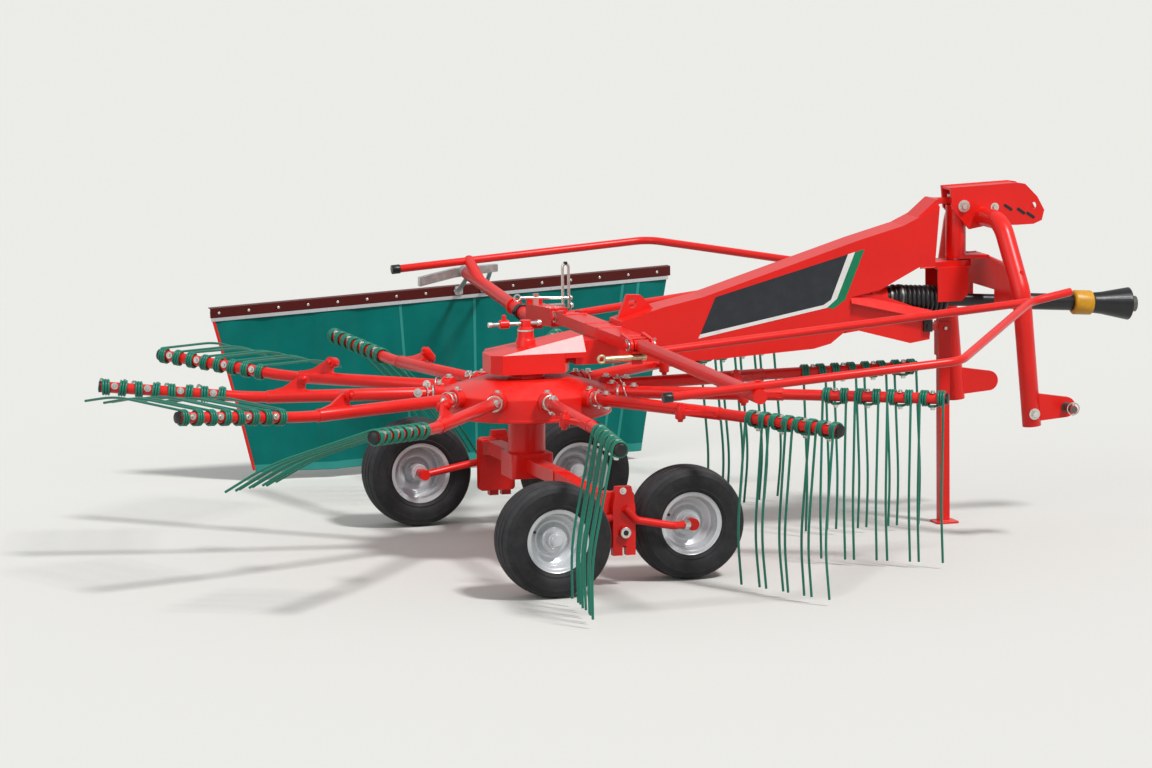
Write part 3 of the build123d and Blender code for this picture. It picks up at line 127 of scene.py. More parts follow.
def coated_steel(name, colour, deep, dust, roughness, coat, settled=0.06, metal_flake=0.0, gloss=0.28):
    """Paint or powder coat on steel: a soft gloss over an even colour, with a fine orange peel.

    The colour drifts a little from place to place, and a breath of field dust lies on what faces up.
    """
    material, place = new_material(name)
    cloud = add(material, "TexNoise", {"Vector": place, "Scale": per_metre(160), "Detail": 3.0})
    tone = add(material, "Mix", {"Factor": cloud.outputs["Fac"], "A": linear(colour), "B": linear(deep)},
               data_type="RGBA")
    surface = add(material, "NewGeometry")
    facing = add(material, "SeparateXYZ", {"Vector": surface.outputs["Normal"]})
    grime = add(material, "TexNoise", {"Vector": place, "Scale": per_metre(34), "Detail": 7.0,
                                       "Roughness": 0.72})
    lying = add(material, "MapRange", {"Value": facing.outputs["Z"], "From Min": 0.1, "From Max": 1.0,
                                       "To Min": 0.0, "To Max": settled})
    patchy = add(material, "MapRange", {"Value": grime.outputs["Fac"], "From Min": 0.45, "From Max": 0.75})
    amount = add(material, "Math", {0: lying.outputs["Result"], 1: patchy.outputs["Result"]},
                 operation="MULTIPLY")
    shown = add(material, "Mix", {"Factor": amount.outputs["Value"], "A": tone.outputs["Result"],
                                  "B": linear(dust)}, data_type="RGBA")
    rough = add(material, "MapRange", {"Value": grime.outputs["Fac"], "To Min": roughness * 0.8,
                                       "To Max": roughness * 1.25})
    # Orange peel is about 1 mm across, and is drawn at 3 mm so that it shows
    peel = add(material, "TexNoise", {"Vector": place, "Scale": per_metre(3), "Detail": 2.0})
    bump = add(material, "Bump", {"Height": peel.outputs["Fac"], "Strength": 0.06, "Distance": 0.0006})
    return finish_material(material, {
        "Base Color": shown.outputs["Result"],
        "Metallic": metal_flake,
        "Roughness": rough.outputs["Result"],
        "Normal": bump.outputs["Normal"],
        "Specular IOR Level": gloss,
        "Coat Weight": coat,
        "Coat Roughness": 0.26,
    })


def unpainted_steel(name, colour, deep, roughness, spangle):
    """Zinc-coated or bare steel: metal in faint crystal patches, duller where it has weathered."""
    material, place = new_material(name)
    crystal = add(material, "TexVoronoi", {"Vector": place, "Scale": per_metre(spangle)})
    tint = add(material, "SeparateColor", {"Color": crystal.outputs["Color"]}).outputs["Red"]
    shown = add(material, "Mix", {"Factor": tint, "A": linear(colour), "B": linear(deep)}, data_type="RGBA")
    weather = add(material, "TexNoise", {"Vector": place, "Scale": per_metre(22), "Detail": 6.0,
                                         "Roughness": 0.7})
    rough = add(material, "MapRange", {"Value": weather.outputs["Fac"], "To Min": roughness * 0.6,
                                       "To Max": roughness * 1.5})
    bump = add(material, "Bump", {"Height": weather.outputs["Fac"], "Strength": 0.12, "Distance": 0.0006})
    return finish_material(material, {
        "Base Color": shown.outputs["Result"],
        "Metallic": 0.85,
        "Roughness": rough.outputs["Result"],
        "Normal": bump.outputs["Normal"],
    })


def polymer(name, colour, worn, roughness, grain, depth, gloss=0.5):
    """Rubber, plastic or vinyl film: a fine grain, greyed in patches where it is handled or dusty."""
    material, place = new_material(name)
    patch = add(material, "TexNoise", {"Vector": place, "Scale": per_metre(45), "Detail": 6.0,
                                       "Roughness": 0.7})
    spread = add(material, "MapRange", {"Value": patch.outputs["Fac"], "From Min": 0.42, "From Max": 0.78})
    shown = add(material, "Mix", {"Factor": spread.outputs["Result"], "A": linear(colour), "B": linear(worn)},
                data_type="RGBA")
    speck = add(material, "TexNoise", {"Vector": place, "Scale": per_metre(grain), "Detail": 4.0})
    rough = add(material, "MapRange", {"Value": speck.outputs["Fac"], "To Min": roughness * 0.75,
                                       "To Max": roughness * 1.25})
    bump = add(material, "Bump", {"Height": speck.outputs["Fac"], "Strength": depth, "Distance": 0.001})
    return finish_material(material, {
        "Base Color": shown.outputs["Result"],
        "Roughness": rough.outputs["Result"],
        "Normal": bump.outputs["Normal"],
        "Specular IOR Level": gloss,
    })


def woven(name, colour, deep, roughness, thread):
    """Plastic-coated polyester: two thread directions show as a fine rib under a low sheen. Broad random
    patches are darker: painted shade.
    """
    material, place = new_material(name)
    # Painted shade: broad random patches turn to the deep colour, standing for the shade of the folds
    cloud = add(material, "TexNoise", {"Vector": place, "Scale": per_metre(260), "Detail": 5.0,
                                       "Roughness": 0.6})
    shown = add(material, "Mix", {"Factor": cloud.outputs["Fac"], "A": linear(colour), "B": linear(deep)},
                data_type="RGBA")
    # Threads are 0.5 mm apart, and are drawn as wide as given so that they show
    band_scale = per_metre(thread) / 6.28
    warp = add(material, "TexWave", {"Vector": place, "Scale": band_scale, "Distortion": 0.4},
               bands_direction="X")
    weft = add(material, "TexWave", {"Vector": place, "Scale": band_scale, "Distortion": 0.4},
               bands_direction="Z")
    both = add(material, "Math", {0: warp.outputs["Fac"], 1: weft.outputs["Fac"]}, operation="ADD")
    bump = add(material, "Bump", {"Height": both.outputs["Value"], "Strength": 0.12, "Distance": 0.0006})
    return finish_material(material, {
        "Base Color": shown.outputs["Result"],
        "Roughness": roughness,
        "Normal": bump.outputs["Normal"],
        "Specular IOR Level": 0.16,
        "Coat Weight": 0.06,
        "Coat Roughness": 0.3,
    })


# Powder coat, sprayed dry and baked: strong even red with a soft gloss
SIGNAL_RED = coated_steel("powder_coated_steel_red", "#EE1C13", "#D9150D", dust="#C9A68C", roughness=0.36,
                          coat=0.3)
# Stoved enamel on a rolled angle: dull and dark
MAROON = coated_steel("baked_enamel_angle_maroon", "#581410", "#450D0A", dust="#8E7B66", roughness=0.42,
                      coat=0.1)
# Lacquered wheel steel: pale aluminium paint, which glints a little like metal
SILVER = coated_steel("lacquered_wheel_steel_silver", "#DDDFE1", "#BFC2C5", dust="#8F8672", roughness=0.28,
                      coat=0.3, settled=0.1, metal_flake=0.3, gloss=0.5)
# Spring steel dipped in paint: a thick green skin, smooth over the wire
WIRE_GREEN = coated_steel("dipped_spring_steel_green", "#0F8068", "#0B6A55", dust="#7D9170", roughness=0.34,
                          coat=0.25)
# Zinc from the dip, in crystals about 14 mm across: pale grey and half dull
ZINC = unpainted_steel("hot_dip_galvanised_steel", "#D2D4D2", "#B4B7B6", roughness=0.36, spangle=14)
# Zinc from the plating bath: small bright fasteners
BRIGHT_ZINC = unpainted_steel("electroplated_zinc_fasteners", "#E4E4DE", "#CBCBC2", roughness=0.28, spangle=9)
# Passivated zinc: a pale straw gold
YELLOW_ZINC = unpainted_steel("yellow_passivated_zinc_rod", "#DED3B0", "#C9B98A", roughness=0.34, spangle=9)
# Turned forging, oiled: a darker bare grey
BARE_STEEL = unpainted_steel("machined_forged_steel", "#7B7872", "#5E5B56", roughness=0.42, spangle=30)
# Rubber cured in a mould: near black and dull, and paler on the tread where the ground wears it
RUBBER = polymer("vulcanised_tyre_rubber", "#1C1D20", "#302F2E", roughness=0.62, grain=4, depth=0.25,
                 gloss=0.35)
TREAD_RUBBER = polymer("worn_tread_rubber", "#37383C", "#4B4946", roughness=0.78, grain=4, depth=0.4,
                       gloss=0.3)
# Blow-moulded rubber: black with a low sheen on the ribs
BELLOWS_RUBBER = polymer("blow_moulded_rubber_black", "#0F1012", "#1E1F22", roughness=0.42, grain=6,
                         depth=0.12)
# Moulded polyethylene: a waxy sheen over a fine grain
BLACK_PLASTIC = polymer("moulded_polyethylene_black", "#0E0F11", "#1B1C1F", roughness=0.36, grain=5,
                        depth=0.1)
YELLOW_PLASTIC = polymer("moulded_polyethylene_yellow", "#DDA016", "#B8841A", roughness=0.38, grain=5,
                         depth=0.1)
# Printed vinyl film: flat, even and smooth
CHARCOAL_FILM = polymer("printed_vinyl_film_charcoal", "#2B2F34", "#34383D", roughness=0.34, grain=8,
                        depth=0.04, gloss=0.3)
WHITE_FILM = polymer("printed_vinyl_film_white", "#E9EAE6", "#D6D6D0", roughness=0.34, grain=8, depth=0.04)
GREEN_FILM = polymer("printed_vinyl_film_green", "#128057", "#0F6B4A", roughness=0.34, grain=8, depth=0.04,
                     gloss=0.3)
# Woven polyester, coated: deep teal, with broad darker patches of painted shade
CLOTH = woven("coated_polyester_teal", "#007F77", "#005A54", roughness=0.42, thread=5)
# Welded seam and hem tapes: a paler teal, painted highlight along the seams where the cloth's folds catch the
# light
SEAM = woven("coated_polyester_seam_tape_highlight", "#3E9C93", "#23857B", roughness=0.4, thread=4)

SLOT_MATERIALS = {
    "red_paint": SIGNAL_RED,
    "green_spring_steel": WIRE_GREEN,
    "silver_paint": SILVER,
    "maroon_paint": MAROON,
    "zinc_steel": ZINC,
    "bare_steel": BARE_STEEL,
    "tyre_rubber": RUBBER,
    "black_rubber": BELLOWS_RUBBER,
    "black_plastic": BLACK_PLASTIC,
    "yellow_plastic": YELLOW_PLASTIC,
    "teal_cloth": CLOTH,
}
# Carried-over solids: facets joined, flat faces made whole, and edges rounded as bent and cut sheet is
JOIN_GAP = 0.02 * MM
FLAT_ANGLE = radians(1)
EDGE_WIDTH = 2.2 * MM
EDGE_ANGLE = radians(32)
# The axle beam's faces fold over when they are made whole, so it keeps its facets
FACETED = "axle_beam"
for entry in frame["record"]["subparts"]:
    cad_object = frame["nodes"][entry["node"]]
    cad_object.data.materials.clear()
    cad_object.data.materials.append(SLOT_MATERIALS[entry["material_slot"]])
    joined = cad_object.modifiers.new("joined_facets", "WELD")
    joined.merge_threshold = JOIN_GAP
    if entry["node"] != FACETED:
        flats = cad_object.modifiers.new("flat_faces", "DECIMATE")
        flats.decimate_type = "DISSOLVE"
        flats.angle_limit = FLAT_ANGLE
    rounded = cad_object.modifiers.new("rounded_edges", "BEVEL")
    rounded.width = EDGE_WIDTH
    rounded.segments = 2
    rounded.limit_method = "ANGLE"
    rounded.angle_limit = EDGE_ANGLE
    rounded.harden_normals = True


# Ways to make a piece
class Form:
    """Points in metres and faces of one piece while it is made."""

    def __init__(self):
        self.points = []
        self.faces = []

    def skin(self, rings, filled=True, closed=False):
        """Skins a row of rings with as many points each.

        Filled closes both ends, and closed joins the last ring to the first.
        """
        base = len(self.points)
        count = len(rings[0])
        for ring in rings:
            self.points.extend(ring)
        for row in range(len(rings) if closed else len(rings) - 1):
            here = base + row * count
            there = base + (row + 1) % len(rings) * count
            for column in range(count):
                beside = (column + 1) % count
                self.faces.append((here + column, here + beside, there + beside, there + column))
        if filled and not closed:
            last = base + (len(rings) - 1) * count
            self.faces.append(tuple(base + i for i in reversed(range(count))))
            self.faces.append(tuple(last + i for i in range(count)))


def turn(form, centre, axis, outline, steps, closed=False):
    """Turns an outline of (along, radius) points in millimetres about an axis."""
    axis = axis.normalized()
    side = axis.orthogonal().normalized()
    other = axis.cross(side)
    circle = [side * cos(2 * pi * i / steps) + other * sin(2 * pi * i / steps) for i in range(steps)]
    form.skin([[centre + axis * (along * MM) + spoke * (radius * MM) for spoke in circle]
               for along, radius in outline], closed=closed)


def sweep(form, path, radius, sides):
    """Sweeps a round wire of a radius in millimetres along points in metres, free of twist."""
    side = (path[1] - path[0]).orthogonal().normalized()
    rings = []
    for index, point in enumerate(path):
        ahead = (path[min(index + 1, len(path) - 1)] - path[max(index - 1, 0)]).normalized()
        side = (side - ahead * side.dot(ahead)).normalized()
        across = ahead.cross(side)
        ring = []
        for i in range(sides):
            angle = 2 * pi * i / sides
            ring.append(point + (side * cos(angle) + across * sin(angle)) * (radius * MM))
        rings.append(ring)
    form.skin(rings)


def loop_wire(form, centre, normal, radius, wire, steps, sides):
    """A closed round ring of wire. Both radii are in millimetres."""
    side = normal.orthogonal().normalized()
    other = normal.normalized().cross(side)
    rings = []
    for i in range(steps):
        spoke = side * cos(2 * pi * i / steps) + other * sin(2 * pi * i / steps)
        ring = []
        for j in range(sides):
            angle = 2 * pi * j / sides
            ring.append(centre + spoke * ((radius + wire * cos(angle)) * MM)
                        + normal.normalized() * (wire * sin(angle) * MM))
        rings.append(ring)
    form.skin(rings, closed=True)


def slab(form, corners, thickness):
    """A flat plate from its corner points, thickened along a vector."""
    form.skin([corners, [corner + thickness for corner in corners]])


def plate_along(form, x, corners, length):
    """A plate of (y, z) corners that starts at x and runs forward, all in millimetres."""
    slab(form, [at(x, y, z) for y, z in corners], ALONG * (length * MM))


CORNER_STEPS = 5


def rounded_arc(before, corner, after, radius):
    """Points of a bend at a corner between two straight runs."""
    first = (before - corner).normalized()
    second = (after - corner).normalized()
    half = first.angle(second) / 2
    reach = min(radius / tan(half), (before - corner).length * 0.45, (after - corner).length * 0.45)
    start = corner + first * reach
    end = corner + second * reach
    points = []
    for i in range(CORNER_STEPS + 1):
        share = i / CORNER_STEPS
        points.append(start * (1 - share) ** 2 + corner * (2 * share * (1 - share)) + end * share ** 2)
    return points


def bent(points, radius):
    """A route with each inner corner rounded."""
    route = [points[0]]
    for before, corner, after in zip(points, points[1:], points[2:]):
        route += rounded_arc(before, corner, after, radius)
    return route + [points[-1]]


# Bolt proportions, as shares of the width across flats
WASHER_R = 0.96
WASHER_T = 0.13
SHOULDER = 0.5
HEAD_T = 0.6
CHAMFER = 0.86


def hexagon(form, place, way, across, washer=True):
    """A hexagon head or nut of a width across flats in millimetres, chamfered, on its washer."""
    base = 0
    if washer:
        base = across * WASHER_T
        turn(form, place, way, [(0, 0), (0, across * WASHER_R), (base, across * WASHER_R), (base, 0)], 20)
    corner = across / sqrt(3)
    top = base + across * HEAD_T
    turn(form, place, way, [(base, 0), (base, corner), (base + across * SHOULDER, corner),
                            (top, corner * CHAMFER), (top, 0)], 6)


def weld(form, start, end, radius, seed):
    """A weld bead from one point to another: a low ripple along a joint."""
    chance = Random(seed)
    ripple = radius * 1.1 * MM
    count = max(int((end - start).length / ripple), 4)
    way = (end - start).normalized()
    side = way.orthogonal().normalized()
    across = way.cross(side)
    rings = []
    for i in range(count + 1):
        middle = start.lerp(end, i / count)
        grown = radius * (0.82 + 0.24 * (i % 2) + chance.uniform(-0.06, 0.06)) * MM
        ring = []
        for j in range(6):
            angle = pi * j / 3
            ring.append(middle + (side * cos(angle) + across * sin(angle)) * grown)
        rings.append(ring)
    form.skin(rings)


POINT_GAP = 0.002 * MM


def make(name, form, material, body, stands_for=(), sharp=35):
    """Turns a form into a piece that rides on a body. Edges sharper than an angle in degrees stay crisp."""
    mesh = bpy.data.meshes.new(name)
    mesh.from_pydata([tuple(p) for p in form.points], [], form.faces)
    shape = bmesh.new()
    shape.from_mesh(mesh)
    bmesh.ops.remove_doubles(shape, verts=shape.verts, dist=POINT_GAP)
    bmesh.ops.recalc_face_normals(shape, faces=shape.faces)
    shape.to_mesh(mesh)
    shape.free()
    mesh.shade_smooth()
    mesh.set_sharp_from_angle(angle=radians(sharp))
    mesh.materials.append(material)
    piece = bpy.data.objects.new(name, mesh)
    bpy.context.scene.collection.objects.link(piece)
    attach(piece, body)
    if stands_for:
        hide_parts(*stands_for)
    return piece


# Rotor: bell with its arm sockets
ARM_COUNT = 11
ARM_Z = 615
FIRST_ARM = radians(-28.13)
# Degrees that each arm is rolled about its own axis, by the cam inside the bell
ARM_ROLLS = (0, 0, 0, 0, 40, 80, 77, 85, 65, 5, 0)
ARM_BORE = 23.2
SOCKET_START = 302
SOCKET_BOLT_R = 319
COLUMN_BORE = 69.2
# Outlines are (height, radius) for the bell, and (outward, radius) for a socket
BELL_OUTLINE = [(536, COLUMN_BORE), (536, 307), (537, 310), (539, 312), (546, 312), (548, 310), (617, 310),
                (621, 309), (624, 305.5), (627, 300), (664.5, 172), (667, 166), (668, 160),
                (668, COLUMN_BORE)]
SOCKET_OUTLINE = [(0, ARM_BORE), (0, 33), (26, 33), (28, 37), (35, 37), (37, 35), (38, 30), (38, ARM_BORE)]


def arm_turn(number):
    """How far an arm stands round from the hitch."""
    return FIRST_ARM + 2 * pi / ARM_COUNT * number


bell = Form()
turn(bell, at(0, 0, 0), UP, BELL_OUTLINE, 120, closed=True)
socket_bolts = Form()
for number in range(ARM_COUNT):
    out = Vector((cos(arm_turn(number)), sin(arm_turn(number)), 0))
    turn(bell, at(0, 0, ARM_Z) + out * (SOCKET_START * MM), out, SOCKET_OUTLINE, 36, closed=True)
    hexagon(socket_bolts, at(0, 0, ARM_Z + 32) + out * (SOCKET_BOLT_R * MM), UP, 17)
make("rotor_bell_shell", bell, SIGNAL_RED, "rotor", ["rotor_bell"])
make("socket_bolts", socket_bolts, BRIGHT_ZINC, "rotor")

# Tine arms: each arm's fittings and wires are placed in the arm's own frame, +X outward and tines down
BEND = radians(5.5)
BEND_PLACE = Vector((1.0, 0, 0))
BAR_WAY = Vector((cos(BEND), -sin(BEND), 0))
BAR_SIDE = Vector((sin(BEND), cos(BEND), 0))
BAR_LENGTH = 560 / cos(BEND)
COIL_FIRST = 118
COIL_STEP = 60
COIL_R = 26.25
WIRE_R = 4.75
COIL_HALF = 13.25
COIL_TURNS = 2.75
TURN_STEPS = 14
COIL_POINTS = int(COIL_TURNS * TURN_STEPS)
BRIDGE_R = COIL_STEP / 2 - COIL_HALF
BRIDGE_STEPS = 8
DOUBLE_TINES = 4
KNEE_DROP = 400
KNEE_LEAN = 67.5
KNEE_BEND_R = 70
TOE_DROP = 592
TOE_LEAN = 47.5
# How far a worn tine stands off its place, each way
SWING = 6
SPREAD = 4
KNEE_DRIFT = 5


def on_arm(along, side, height):
    """A point of an arm's own frame, in millimetres out from the rotor's axis, to its leading side and up."""
    return Vector((along, side, height)) * MM


def on_bar(along, side, height):
    """A point of an arm's own frame, in millimetres along its outer bar, to its leading side and up."""
    return BEND_PLACE + (BAR_WAY * along + BAR_SIDE * side + UP * height) * MM


def tine_wire(first, second, chance):
    """The route of one double tine: toe, leg, coil, bridge under the bar, coil, leg and toe."""
    halves = []
    for middle, way in ((first, -1), (second, 1)):
        outer = middle + way * COIL_HALF
        swing = chance.uniform(-SWING, SWING)
        spread = chance.uniform(-SPREAD, SPREAD)
        knee_drop = KNEE_DROP - chance.uniform(-KNEE_DRIFT, KNEE_DRIFT)
        leg = bent([
            on_bar(outer, -COIL_R, 0),
            on_bar(outer + spread * 0.5, swing * 0.5 - KNEE_LEAN, -knee_drop),
            on_bar(outer + spread, swing - TOE_LEAN, -TOE_DROP),
        ], KNEE_BEND_R)
        coil = []
        for i in range(COIL_POINTS + 1):
            share = i / COIL_POINTS
            angle = -pi / 2 + 2 * pi * COIL_TURNS * share
            along = middle + way * COIL_HALF * (2 * share - 1)
            coil.append(on_bar(along, COIL_R * cos(angle), COIL_R * sin(angle)))
        halves.append(coil + leg[1:])
    centre = (first + second) / 2
    bridge = []
    for i in range(1, BRIDGE_STEPS):
        angle = pi * i / BRIDGE_STEPS
        bridge.append(on_bar(centre - BRIDGE_R * cos(angle), -BRIDGE_R * sin(angle), -COIL_R))
    return list(reversed(halves[0])) + bridge + halves[1]


pins = Form()
tine_bolts = Form()
arm_welds = Form()
bar_caps = Form()
CAP_OUTLINE = [(-6, 0), (-6, 21), (1, 21), (3, 18), (3, 0)]
COLLAR_OUTLINE = [(0, ARM_BORE), (0, 28), (6, 28), (6, ARM_BORE)]
COLLAR_START = 341
LINCH_PIN = 362
LINCH_RING = 372
ROOT_BOLT = 400
SPUR_START = 802
SPUR_EYE = 815
SPUR_END = 950
chance = Random(7)
for number, roll in enumerate(ARM_ROLLS):
    place = (Matrix.Translation(at(0, 0, ARM_Z)) @ Matrix.Rotation(arm_turn(number), 4, "Z")
             @ Matrix.Rotation(-radians(roll), 4, "X"))
    square = place.to_3x3()
    out = square @ ALONG
    wires = Form()
    for pair in range(DOUBLE_TINES):
        first = COIL_FIRST + pair * 2 * COIL_STEP
        second = first + COIL_STEP
        sweep(wires, [place @ p for p in tine_wire(first, second, chance)], WIRE_R, 7)
        # Clamp bolt through the bridge, with its nut on top of the bar
        clamp = first + COIL_STEP / 2
        hexagon(tine_bolts, place @ on_bar(clamp, -4, -COIL_R - 4.5), square @ -UP, 15)
        hexagon(tine_bolts, place @ on_bar(clamp, -4, 19.5), square @ UP, 13)
    make(f"tines_{number + 1:02d}", wires, WIRE_GREEN, "rotor",
         [f"double_tines_{number + 1:02d}"], sharp=60)
    turn(bar_caps, place @ on_bar(BAR_LENGTH, 0, 0), square @ BAR_WAY, CAP_OUTLINE, 28)
    # Ring collar, linch pin and clamp bolt at the arm's root
    turn(pins, place @ on_arm(COLLAR_START, 0, 0), out, COLLAR_OUTLINE, 28, closed=True)
    sweep(pins, [place @ on_arm(LINCH_PIN, 0, z) for z in (-34, 0, 36)], 4.5, 10)
    loop_wire(pins, place @ on_arm(LINCH_RING, 0, 4), square @ Vector((1, 0, 0.35)), 27.5, 2.4, 28, 7)
    hexagon(pins, place @ on_arm(ROOT_BOLT, 0, 22.5), square @ UP, 17)
    hexagon(pins, place @ on_arm(ROOT_BOLT, 0, -22.5), square @ -UP, 17)
    # Painted bolt in the spur's eye, the spur's welds to the tube, and the weld at the thinner bar
    for end in (1, -1):
        hexagon(arm_welds, place @ on_arm(SPUR_EYE, -62, 22 * end), square @ (UP * end), 17)
        weld(arm_welds, place @ on_arm(SPUR_START, -21.2, 8.8 * end),
             place @ on_arm(SPUR_END, -21.2, 8.8 * end), 3.2, number)
    loop_wire(arm_welds, place @ on_arm(SPUR_END, 0, 0), out, 21.5, 2.6, 28, 6)
make("arm_linch_pins", pins, BRIGHT_ZINC, "rotor")
make("bar_end_caps", bar_caps, BLACK_PLASTIC, "rotor")
make("tine_and_spur_bolts", tine_bolts, BRIGHT_ZINC, "rotor")
make("arm_welds", arm_welds, SIGNAL_RED, "rotor", sharp=80)


# Wheels: ribbed turf tyres on pressed rims. Outlines are (out of the machine, radius)
TYRE_R = 205.5
TYRE_SIDE = [(61.7, 101.6), (61.7, 112), (65, 116), (69, 118.5), (72, 123), (73.5, 126), (75.2, 126.5),
             (75.5, 129), (74.8, 131), (77.6, 138), (80.2, 147), (81.3, 156), (81.2, 165), (80.2, 173),
             (80.6, 175), (79.9, 177.5), (78.4, 179), (75.8, 187), (71.8, 193), (66.5, 197)]
# The tread is crowned, with two grooves on each side of its middle
CROWN_HALF = 66
CROWN_DROP = 8
GROOVES = (44, 16)
BETWEEN_GROOVES = 30
GROOVE_DEPTH = 5
GROOVE_TOP = 4
GROOVE_FLOOR = 2.6
# The worn tread, which is paler, starts at this radius
TREAD_R = 194
# Dished disc and outer flange of the rim, from the hub outwards, and the same seen from behind
DISC = [(25, 33), (24.5, 43), (22.5, 46.5), (16, 50), (8, 56), (4.5, 62), (5, 68), (9, 75), (15, 82),
        (17.5, 87), (17.8, 90), (24, 90), (34, 90.5), (38, 92), (44, 95.5), (50, 97), (60, 98.5), (61.5, 101),
        (63, 105), (63.6, 110.5), (65.2, 113.2), (64.8, 114.2), (62.5, 114), (61.8, 111), (61.7, 101.3)]
BACK = [(-61.7, 101.3), (-61.8, 111), (-62.5, 114), (-64.8, 114.2), (-65, 113.5), (-63, 105), (-62, 101.5),
        (-56, 97.3), (-10, 96), (10, 93), (12, 88), (9, 82), (2, 75), (-1, 68), (-1.5, 62), (2, 54), (10, 48),
        (16, 44), (18, 36), (17, 31.5)]
BORE_R = 14.4
HUB_END = [(48, BORE_R), (48, 29.5), (46.5, 31), (27, 31.5)]
CAPPED_END = [(47, BORE_R), (47, 0), (57.5, 0), (57.5, 14), (56.5, 19), (53, 22.5), (49, 23.5), (48, 24),
              (48, 29.5), (46.5, 31), (27, 31.5)]
VALVE = [(0, 0), (0, 8), (4, 7.5), (8, 5), (26, 4.4), (27, 5), (38, 5), (40, 3.6), (40, 0)]
VALVE_PLACE = Vector((-81, 0, 35)) * MM
VALVE_OUT = 12
# Columns: name, wheel centre x and y, whether the hub cap faces out
WHEELS = [("rear_left", -175, 850, True), ("rear_right", -175, -850, True),
          ("front_left", 392, 650, False), ("front_right", 392, -650, False)]


def crown(across):
    """Radius of the tread at a distance from its middle."""
    return TYRE_R - CROWN_DROP * (across / CROWN_HALF) ** 2


tread = []
for groove in GROOVES:
    bottom = crown(groove) - GROOVE_DEPTH
    tread += [(groove + GROOVE_TOP, crown(groove + GROOVE_TOP)), (groove + GROOVE_FLOOR, bottom),
              (groove - GROOVE_FLOOR, bottom), (groove - GROOVE_TOP, crown(groove - GROOVE_TOP))]
tread.insert(4, (BETWEEN_GROOVES, crown(BETWEEN_GROOVES)))
tyre_half = TYRE_SIDE + tread
TYRE_OUTLINE = tyre_half + [(0, TYRE_R)] + [(-across, radius) for across, radius in reversed(tyre_half)]
for name, x, y, capped in WHEELS:
    outward = LEFT if y > 0 else -LEFT
    centre = at(x, y, TYRE_R)
    body = f"wheel_{name}"
    tyre = Form()
    turn(tyre, centre, outward, TYRE_OUTLINE, 128, closed=True)
    ribbed = make(f"tyre_{name}_ribbed", tyre, RUBBER, body, [f"tyre_{name}"], sharp=28)
    ribbed.data.materials.append(TREAD_RUBBER)
    for patch in ribbed.data.polygons:
        reach = patch.center - centre
        patch.material_index = int(sqrt(reach.x ** 2 + reach.z ** 2) > TREAD_R * MM)
    rim = Form()
    face, rear = (CAPPED_END, HUB_END) if capped else (HUB_END, CAPPED_END)
    outline = face + DISC + BACK + [(-across, radius) for across, radius in reversed(rear)]
    turn(rim, centre, outward, outline, 72, closed=True)
    make(f"rim_{name}_pressed", rim, SILVER, body, [f"rim_{name}"], sharp=24)
    stem = Form()
    turn(stem, centre + VALVE_PLACE + outward * (VALVE_OUT * MM), outward, VALVE, 18)
    make(f"valve_{name}", stem, BELLOWS_RUBBER, body)

# Tandem units: bolts and the rocker's pivot ring on the outer faces
UNIT_FACE_Y = 760.5
PIVOT_X = 122
PIVOT_FACE_Y = 775.4
PIVOT_Z = 198
PIVOT_RING = [(0, 10), (0, 19.5), (4, 19.5), (5.5, 17), (5.5, 10)]
PIVOT_END = [(-0.2, 0), (-0.2, 9.8), (3.8, 9.8), (3.8, 0)]
SLEEVE = [(0, 14.1), (0, 16.5), (26, 16.5), (26, 14.1)]
unit_bolts = Form()
unit_hubs = Form()
for side in (1, -1):
    out = LEFT * side
    hexagon(unit_bolts, at(118, side * UNIT_FACE_Y, 347), out, 13)
    pivot = at(PIVOT_X, side * PIVOT_FACE_Y, PIVOT_Z)
    turn(unit_bolts, pivot, out, PIVOT_RING, 28, closed=True)
    turn(unit_hubs, pivot, out, PIVOT_END, 20)
    # Zinc sleeve on each front arm, close to its hub
    arm_knee = at(304, side * 767.5, 211.5)
    arm_end = at(392, side * 721, 205.5)
    turn(unit_bolts, arm_knee.lerp(arm_end, 0.5), arm_end - arm_knee, SLEEVE, 28, closed=True)
make("tandem_bolts", unit_bolts, BRIGHT_ZINC, "frame")
make("tandem_pivot_ends", unit_hubs, BLACK_PLASTIC, "frame")

# Gear housing: the crank's bush and ends, and the cap's collar
GEAR_TOP = 762
CRANK_Z = 864
CAP_H = 84
CAP_RING = [(-10, 28.2), (-10, 30), (-4, 30), (-4, 28.2)]
BUSH = [(0, 7.3), (0, 14), (2, 16), (34, 16), (36, 14), (36, 7.3)]
BUSH_STEM = [(14, 0), (14, 8), (32, 8), (34, 6), (34, 0)]
REAR_KNOB = [(0, 0), (0, 7), (2, 10), (13, 10), (13, 7.2), (3.9, 7.2), (3.9, 0)]
FRONT_KNOB = [(-12, 7.2), (-12, 11), (-1, 11), (2, 8), (2, 0)]
cap_collar = Form()
turn(cap_collar, at(0, 0, GEAR_TOP + CAP_H), UP, CAP_RING, 36, closed=True)
make("cap_collar", cap_collar, BRIGHT_ZINC, "frame")
bush = Form()
turn(bush, at(-100, 0, CRANK_Z), ALONG, BUSH, 28, closed=True)
turn(bush, at(-82, 0, CRANK_Z), UP, BUSH_STEM, 20)
make("crank_bush", bush, SIGNAL_RED, "frame")
knobs = Form()
turn(knobs, at(-144, 0, CRANK_Z), ALONG, REAR_KNOB, 20)
turn(knobs, at(58, 0, CRANK_Z), ALONG, FRONT_KNOB, 20)
make("crank_ends", knobs, BRIGHT_ZINC, "frame")

